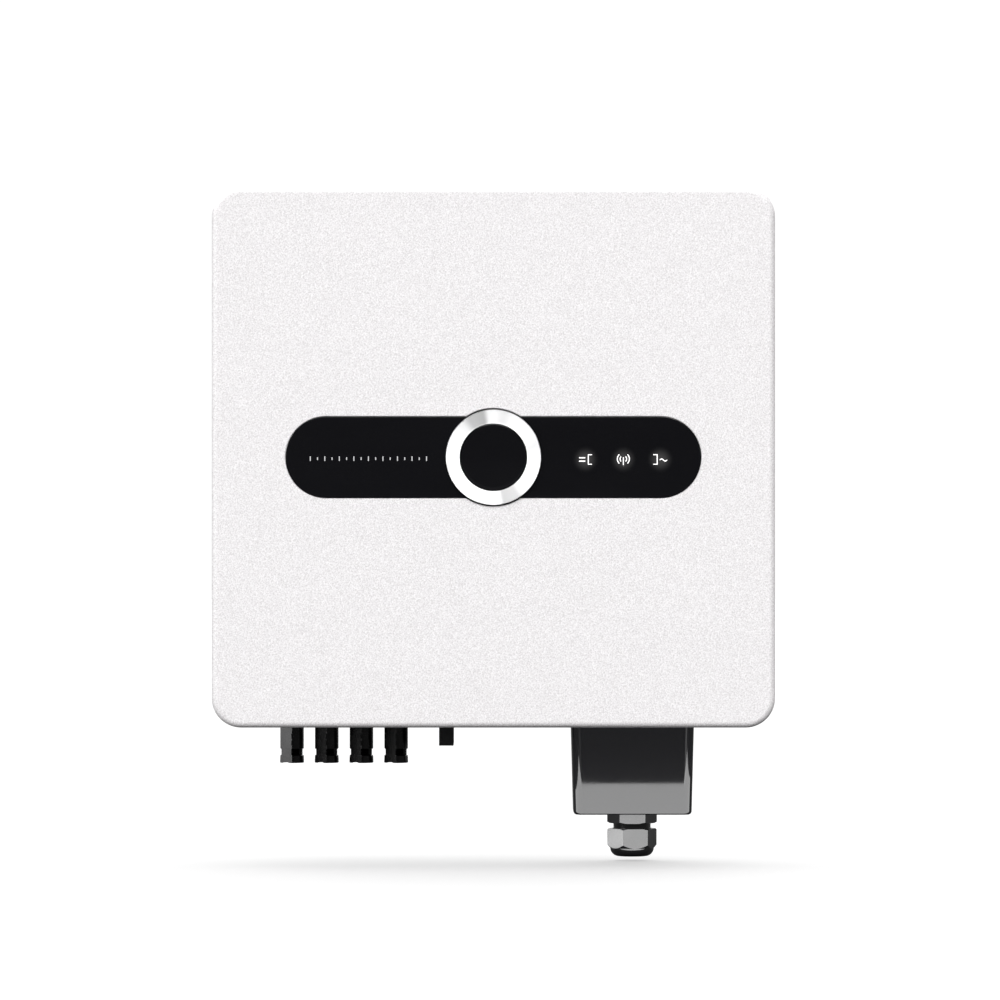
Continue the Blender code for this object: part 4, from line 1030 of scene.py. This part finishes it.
def hex_mesh(low, high, turn):
    """A hexagon bar of the gland's size, with its six long edges rounded."""
    outline = []
    corners = []
    for i in range(6):
        angle = turn + i * pi / 3
        corners.append(Vector((GLAND_CORNER * cos(angle), GLAND_CORNER * sin(angle))))
    share = 0.045
    for i, corner in enumerate(corners):
        start = corner.lerp(corners[i - 1], share)
        end = corner.lerp(corners[(i + 1) % 6], share)
        outline += bend(start, corner, end)
    return prism_mesh(outline, low, high)


def make_gland_body(look):
    """A hexagon flange under the wiring box, a neck below it, and a thread up into the box."""
    low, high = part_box("gland_body")
    place = centre_line("gland_body")
    flange_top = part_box("wiring_box")[0].z - GAP
    flange_bottom = case_low.z - 75 * MM
    outline = [
        (0, flange_top),
        (GLAND_REACH, flange_top),
        (GLAND_REACH, flange_bottom + 1.1 * MM),
        (GLAND_CORNER - 1.9 * MM, flange_bottom),
        (0, flange_bottom),
    ]
    envelope = turned_mesh(rounded_corners(outline, [0, 0.6 * MM, 0.3 * MM, 0.3 * MM, 0]))
    hexagon = combined(hex_mesh(flange_bottom, flange_top, 0), [envelope], "INTERSECT")
    bore = prism_mesh(circle(GLAND_BORE), flange_bottom - 1 * MM, flange_top + 1 * MM)
    flange = combined(hexagon, [bore])
    piece("gland_flange", flange, look, "inverter", ("gland_body",), place=place)
    neck_top = flange_bottom - SEAM
    neck = turned_mesh(
        [
            (GLAND_NECK, neck_top),
            (GLAND_NECK, low.z + 0.5 * MM),
            (GLAND_NECK - 0.5 * MM, low.z),
            (GLAND_BORE + 0.2 * MM, low.z),
            (GLAND_BORE, low.z + 0.2 * MM),
            (GLAND_BORE, neck_top),
        ]
    )
    piece("gland_neck", neck, look, "inverter", place=place)
    thread_low = flange_top + SEAM
    profile = [(GLAND_BORE, high.z), (GLAND_BORE, thread_low)]
    for i in range(THREAD_TURNS + 1):
        z = thread_low + (high.z - flange_top - 0.4 * MM) * i / THREAD_TURNS
        profile.append((GLAND_THREAD if i % 2 else GLAND_ROOT, z))
    profile.append((GLAND_ROOT, high.z))
    piece("gland_thread", turned_mesh(profile), look, "inverter", place=place)


def make_gland_nut(look):
    """A hexagon cap nut that narrows to a dome with the cable's mouth in it."""
    low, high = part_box("gland_nut")
    top = high.z
    hex_end = top - 11.9 * MM
    shoulder = top - 14.8 * MM
    dome_radius = 6.3 * MM
    dome_centre = (GLAND_BORE, low.z + dome_radius)
    mouth = 9.3 * MM
    thread = 15 * MM
    envelope = turned_mesh(
        [
            (0, top),
            (GLAND_CORNER - 1.5 * MM, top),
            (GLAND_CORNER - 0.2 * MM, top - 0.8 * MM),
            (GLAND_REACH, top - 2 * MM),
            (GLAND_REACH, hex_end),
            (GLAND_CORNER - 0.4 * MM, hex_end - 0.6 * MM),
            (dome_centre[0] + dome_radius, shoulder),
            *arc(dome_centre, dome_radius, 0, -pi / 2, 14),
            (0, low.z),
        ]
    )
    solid = combined(hex_mesh(low.z - 1 * MM, top, NUT_TURN), [envelope], "INTERSECT")
    hollow = turned_mesh(
        [
            (0, top + 1 * MM),
            (thread, top + 1 * MM),
            (thread, top - 10.5 * MM),
            (mouth, top - 16 * MM),
            (mouth, low.z - 2 * MM),
            (0, low.z - 2 * MM),
        ]
    )
    nut = combined(solid, [hollow])
    place = centre_line("gland_body")
    return piece("gland_cap_nut", nut, look, "gland_cap", ("gland_nut",), place=place)


# Studio

CAMERA_DISTANCE = 4.5
VIEW_WIDTH = 0.7456  # what the camera sees from side to side, at its distance
VIEW_CENTRE = Vector((4.92 * MM, CASE_FRONT + CASE_EDGE_ROUND, CASE_Z - 31.8 * MM))
FLOOR_Z = cad_box[0].z - 3.4 * MM
FLOOR_SIZE = 24.0
FACING_UP = (pi, 0, 0)
FACING_BACK = (pi / 2, 0, 0)
FACING_RIGHT = (0, -pi / 2, 0)


def make_camera():
    camera = bpy.data.cameras.new("camera")
    camera.lens = camera.sensor_width * CAMERA_DISTANCE / VIEW_WIDTH
    obj = bpy.data.objects.new("camera", camera)
    obj.location = VIEW_CENTRE - Vector((0, CAMERA_DISTANCE, 0))
    obj.rotation_euler = FACING_FRONT
    bpy.context.scene.collection.objects.link(obj)
    bpy.context.scene.camera = obj


def direction(clock, off_axis):
    """Towards a light: its hour on a clock face seen from the front, and its angle off the front axis."""
    hand = clock / 12 * 2 * pi
    lean = radians(off_axis)
    return Vector((sin(lean) * sin(hand), -cos(lean), sin(lean) * cos(hand)))


def add_sun(name, towards, strength, spread, receivers=None):
    light = bpy.data.lights.new(name, "SUN")
    light.energy = strength
    light.angle = radians(spread)
    obj = bpy.data.objects.new(name, light)
    obj.rotation_euler = towards.to_track_quat("Z", "Y").to_euler()
    bpy.context.scene.collection.objects.link(obj)
    if receivers:
        obj.light_linking.receiver_collection = receivers
    return obj


def linked(name, objects, state):
    """A collection that says which objects a light reaches, or leaves out."""
    collection = bpy.data.collections.new(name)
    for obj in objects:
        collection.objects.link(obj)
    for entry in collection.collection_objects:
        entry.light_linking.link_state = state
    return collection


def make_floor():
    """A white floor, clear from below, that is pale to the camera and dark to all other rays."""
    bm = bmesh.new()
    half = FLOOR_SIZE / 2
    corners = [(-half, -half), (half, -half), (half, half), (-half, half)]
    bm.faces.new([bm.verts.new((x, y, FLOOR_Z)) for x, y in corners])
    mesh = bpy.data.meshes.new("floor")
    bm.to_mesh(mesh)
    bm.free()
    floor = bpy.data.objects.new("floor", mesh)
    bpy.context.scene.collection.objects.link(floor)
    made = Surface("floor", (0.12, 0.12, 0.12), 0.9)
    shadowed = made.node("ShaderNodeBsdfDiffuse", {"Color": (0.7, 0.7, 0.7, 1)})
    steady = made.node("ShaderNodeEmission", {"Color": (1, 1, 1, 1), "Strength": 0.5})
    to_camera = made.node("ShaderNodeAddShader", {0: shadowed.outputs[0], 1: steady.outputs[0]})
    seen = made.node("ShaderNodeLightPath").outputs["Is Camera Ray"]
    by_ray = {0: seen, 1: made.shader.outputs[0], 2: to_camera.outputs[0]}
    look = made.node("ShaderNodeMixShader", by_ray)
    below = made.node("ShaderNodeNewGeometry").outputs["Backfacing"]
    clear = made.node("ShaderNodeBsdfTransparent")
    whole = made.node("ShaderNodeMixShader", {0: below, 1: look.outputs[0], 2: clear.outputs[0]})
    output = made.tree.nodes["Material Output"].inputs["Surface"]
    made.tree.links.new(whole.outputs[0], output)
    mesh.materials.append(made.material)
    return floor


def make_world():
    """White behind the object; for light, a soft studio that is dark behind the camera and below."""
    world = bpy.data.worlds.new("studio")
    bpy.context.scene.world = world
    world.use_nodes = True
    tree = world.node_tree
    tree.nodes.clear()

    def node(kind, inputs=None, **settings):
        made = tree.nodes.new(kind)
        for key, value in settings.items():
            setattr(made, key, value)
        for key, value in (inputs or {}).items():
            if isinstance(value, bpy.types.NodeSocket):
                tree.links.new(value, made.inputs[key])
            else:
                made.inputs[key].default_value = value
        return made.outputs[0]

    ray = tree.nodes.new("ShaderNodeTexCoord").outputs["Generated"]

    def lobe(towards, start, end):
        """Rises from 0 to 1 as the ray's angle off this direction falls from start to end."""
        made = tree.nodes.new("ShaderNodeVectorMath")
        made.operation = "DOT_PRODUCT"
        tree.links.new(ray, made.inputs[0])
        made.inputs[1].default_value = towards
        bounds = {"From Min": cos(radians(start)), "From Max": cos(radians(end))}
        inputs = {"Value": made.outputs["Value"], **bounds}
        return node("ShaderNodeMapRange", inputs, interpolation_type="SMOOTHSTEP")

    def times(a, b):
        return node("ShaderNodeMath", {0: a, 1: b}, operation="MULTIPLY")

    def plus(a, b):
        return node("ShaderNodeMath", {0: a, 1: b}, operation="ADD")

    above = lobe(Vector((0, 0, 1)), 102, 46)
    front = lobe(Vector((0, -1, 0)), 34, 14)
    total = plus(0.05, times(above, 0.42))
    dim = node("ShaderNodeMapRange", {"Value": front, "To Min": 1.0, "To Max": 0.12})
    total = times(total, dim)
    behind = lobe(Vector((0, 1, 0)), 84, 62)
    total = plus(total, times(behind, 0.4))
    light = node("ShaderNodeBackground", {"Color": (1, 1, 1, 1), "Strength": total})
    white = node("ShaderNodeBackground", {"Color": (1, 1, 1, 1), "Strength": 1.05})
    seen = tree.nodes.new("ShaderNodeLightPath").outputs["Is Camera Ray"]
    whole = node("ShaderNodeMixShader", {0: seen, 1: light, 2: white})
    tree.links.new(whole, tree.nodes.new("ShaderNodeOutputWorld").inputs["Surface"])


def add_card(name, place, width, height, radiance, facing, receivers):
    """A flat light of this radiance that only its receivers see, turned to face one way."""
    light = bpy.data.lights.new(name, "AREA")
    light.shape = "RECTANGLE"
    light.size = width
    light.size_y = height
    light.energy = radiance * pi * width * height
    obj = bpy.data.objects.new(name, light)
    obj.location = place
    obj.rotation_euler = facing
    obj.visible_camera = False
    bpy.context.scene.collection.objects.link(obj)
    obj.light_linking.receiver_collection = receivers


def make_lights(floor, ring, ports, first_socket):
    """Suns from the front light the object alone, and one from overhead throws the floor's shadow.
    The ring has a light of its own, and the cards give the glossy black ports their reflections."""
    body_only = linked("all_but_floor_and_ring", [floor, ring], "EXCLUDE")
    add_sun("sun_top", direction(12.0, 36), 1.49, 36, body_only)
    add_sun("sun_upper_right", direction(0.7, 42), 1.1, 34, body_only)
    add_sun("sun_left", direction(9.4, 60), 1.45, 34, body_only)
    add_sun("sun_overhead", Vector((0.0, 0.72, 0.97)), 1.3, 84)
    only_ring = linked("only_ring", [ring], "INCLUDE")
    ring_front = add_sun("ring_front", direction(6.0, 5), 1.9, 44, only_ring)
    ring_front.light_linking.blocker_collection = linked("not_the_floor", [floor], "EXCLUDE")
    only_ports = linked("only_ports", ports, "INCLUDE")
    only_nut = linked("only_nut", [ports[1]], "INCLUDE")
    only_first = linked("only_first_socket", [first_socket], "INCLUDE")
    box_x, port_y, _ = ports[0].location
    floor_z = FLOOR_Z + 2 * MM
    front_end, back_end = CASE_FRONT - 1.17, port_y - 0.03
    middle, reach = (back_end + front_end) / 2, back_end - front_end
    front_place = (box_x + 0.08, middle, floor_z)
    add_card("floor_front", front_place, 1.66, reach, 6.4, FACING_UP, only_ports)
    left_place = (box_x - 0.615, port_y, floor_z)
    add_card("floor_left", left_place, 0.99, 0.24, 6.4, FACING_UP, only_nut)
    card_y, card_z = CASE_FRONT - 1.0, FLOOR_Z + 0.3
    left_place = (box_x - 0.2, card_y, card_z)
    add_card("card_left", left_place, 0.3, 0.6, 0.3, FACING_BACK, only_ports)
    right_place = (box_x + 0.4, card_y, card_z)
    add_card("card_right", right_place, 0.36, 0.6, 1.3, FACING_BACK, only_ports)
    side_place = (-1.4, port_y - 0.15, case_low.z - 0.02)
    add_card("card_side", side_place, 0.5, 0.8, 3.2, FACING_RIGHT, only_first)


def main():
    made = [
        bare_aluminium(),
        zinc_steel(),
        rubber(),
        clear_plastic(),
        circuit_board(),
        tinned(),
        capacitor_sleeve(),
        winding(),
        moulded("relay_case", (0.05, 0.05, 0.06), 0.4),
        moulded("terminal_plastic", (0.2, 0.3, 0.22), 0.42),
        white_coat(),
        grey_coat(),
        spun_chrome(),
        gloss_black("gloss_black"),
        moulded("black_plastic", (0.0028, 0.0028, 0.0031), 0.24),
        polished("moulded_black", (0.0024, 0.0024, 0.0028), 0.022),
        polished("gland_nylon", (0.005, 0.005, 0.0053), 0.1, 0.66),
    ]
    looks = {slot_name(look): look for look in made}
    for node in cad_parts.values():
        node.data.materials[0] = looks[node.data.materials[0].name]
    make_front_cover(looks["white_coat"])
    refined("rear_housing", looks["grey_coat"], "inverter", 0.6 * MM)
    # Where the panel's painted glow is centred: on each icon.
    painted_glow_places = [(x, PANEL_FRONT, ICON_Z) for x in ICON_X]
    make_display_panel(gloss_black("panel_black", painted_glow_places))
    ring = make_chrome_ring(looks["spun_chrome"])
    make_button(looks["gloss_black"])
    make_icons(lit("icon_light", (1.0, 0.99, 0.98), 1.0))
    # The printed ticks glow: painted light that keeps them pale however they are lit.
    make_dashes(lit("printed_ticks_painted_glow", (0.62, 0.62, 0.63), 0.3))
    sockets = [make_dc_connector(number, looks["black_plastic"]) for number in range(1, 5)]
    make_isolator_handle(moulded("black_plastic", (0.026, 0.026, 0.028), 0.3))
    box_shell = make_wiring_box(looks["moulded_black"])
    make_gland_body(looks["gland_nylon"])
    nut = make_gland_nut(looks["gland_nylon"])
    refined("heatsink", looks["bare_aluminium"], "inverter", 0.3 * MM)
    refined("wall_bracket", looks["zinc_steel"], "bracket", 0.5 * MM)
    refined("hanger_plate", looks["zinc_steel"], "inverter", 0.5 * MM)
    make_camera()
    make_world()
    floor = make_floor()
    ports = [box_shell, nut, bpy.data.objects["gland_flange"]]
    make_lights(floor, ring, ports, sockets[0])


main()
bpy.context.scene.view_settings.view_transform = "Standard"
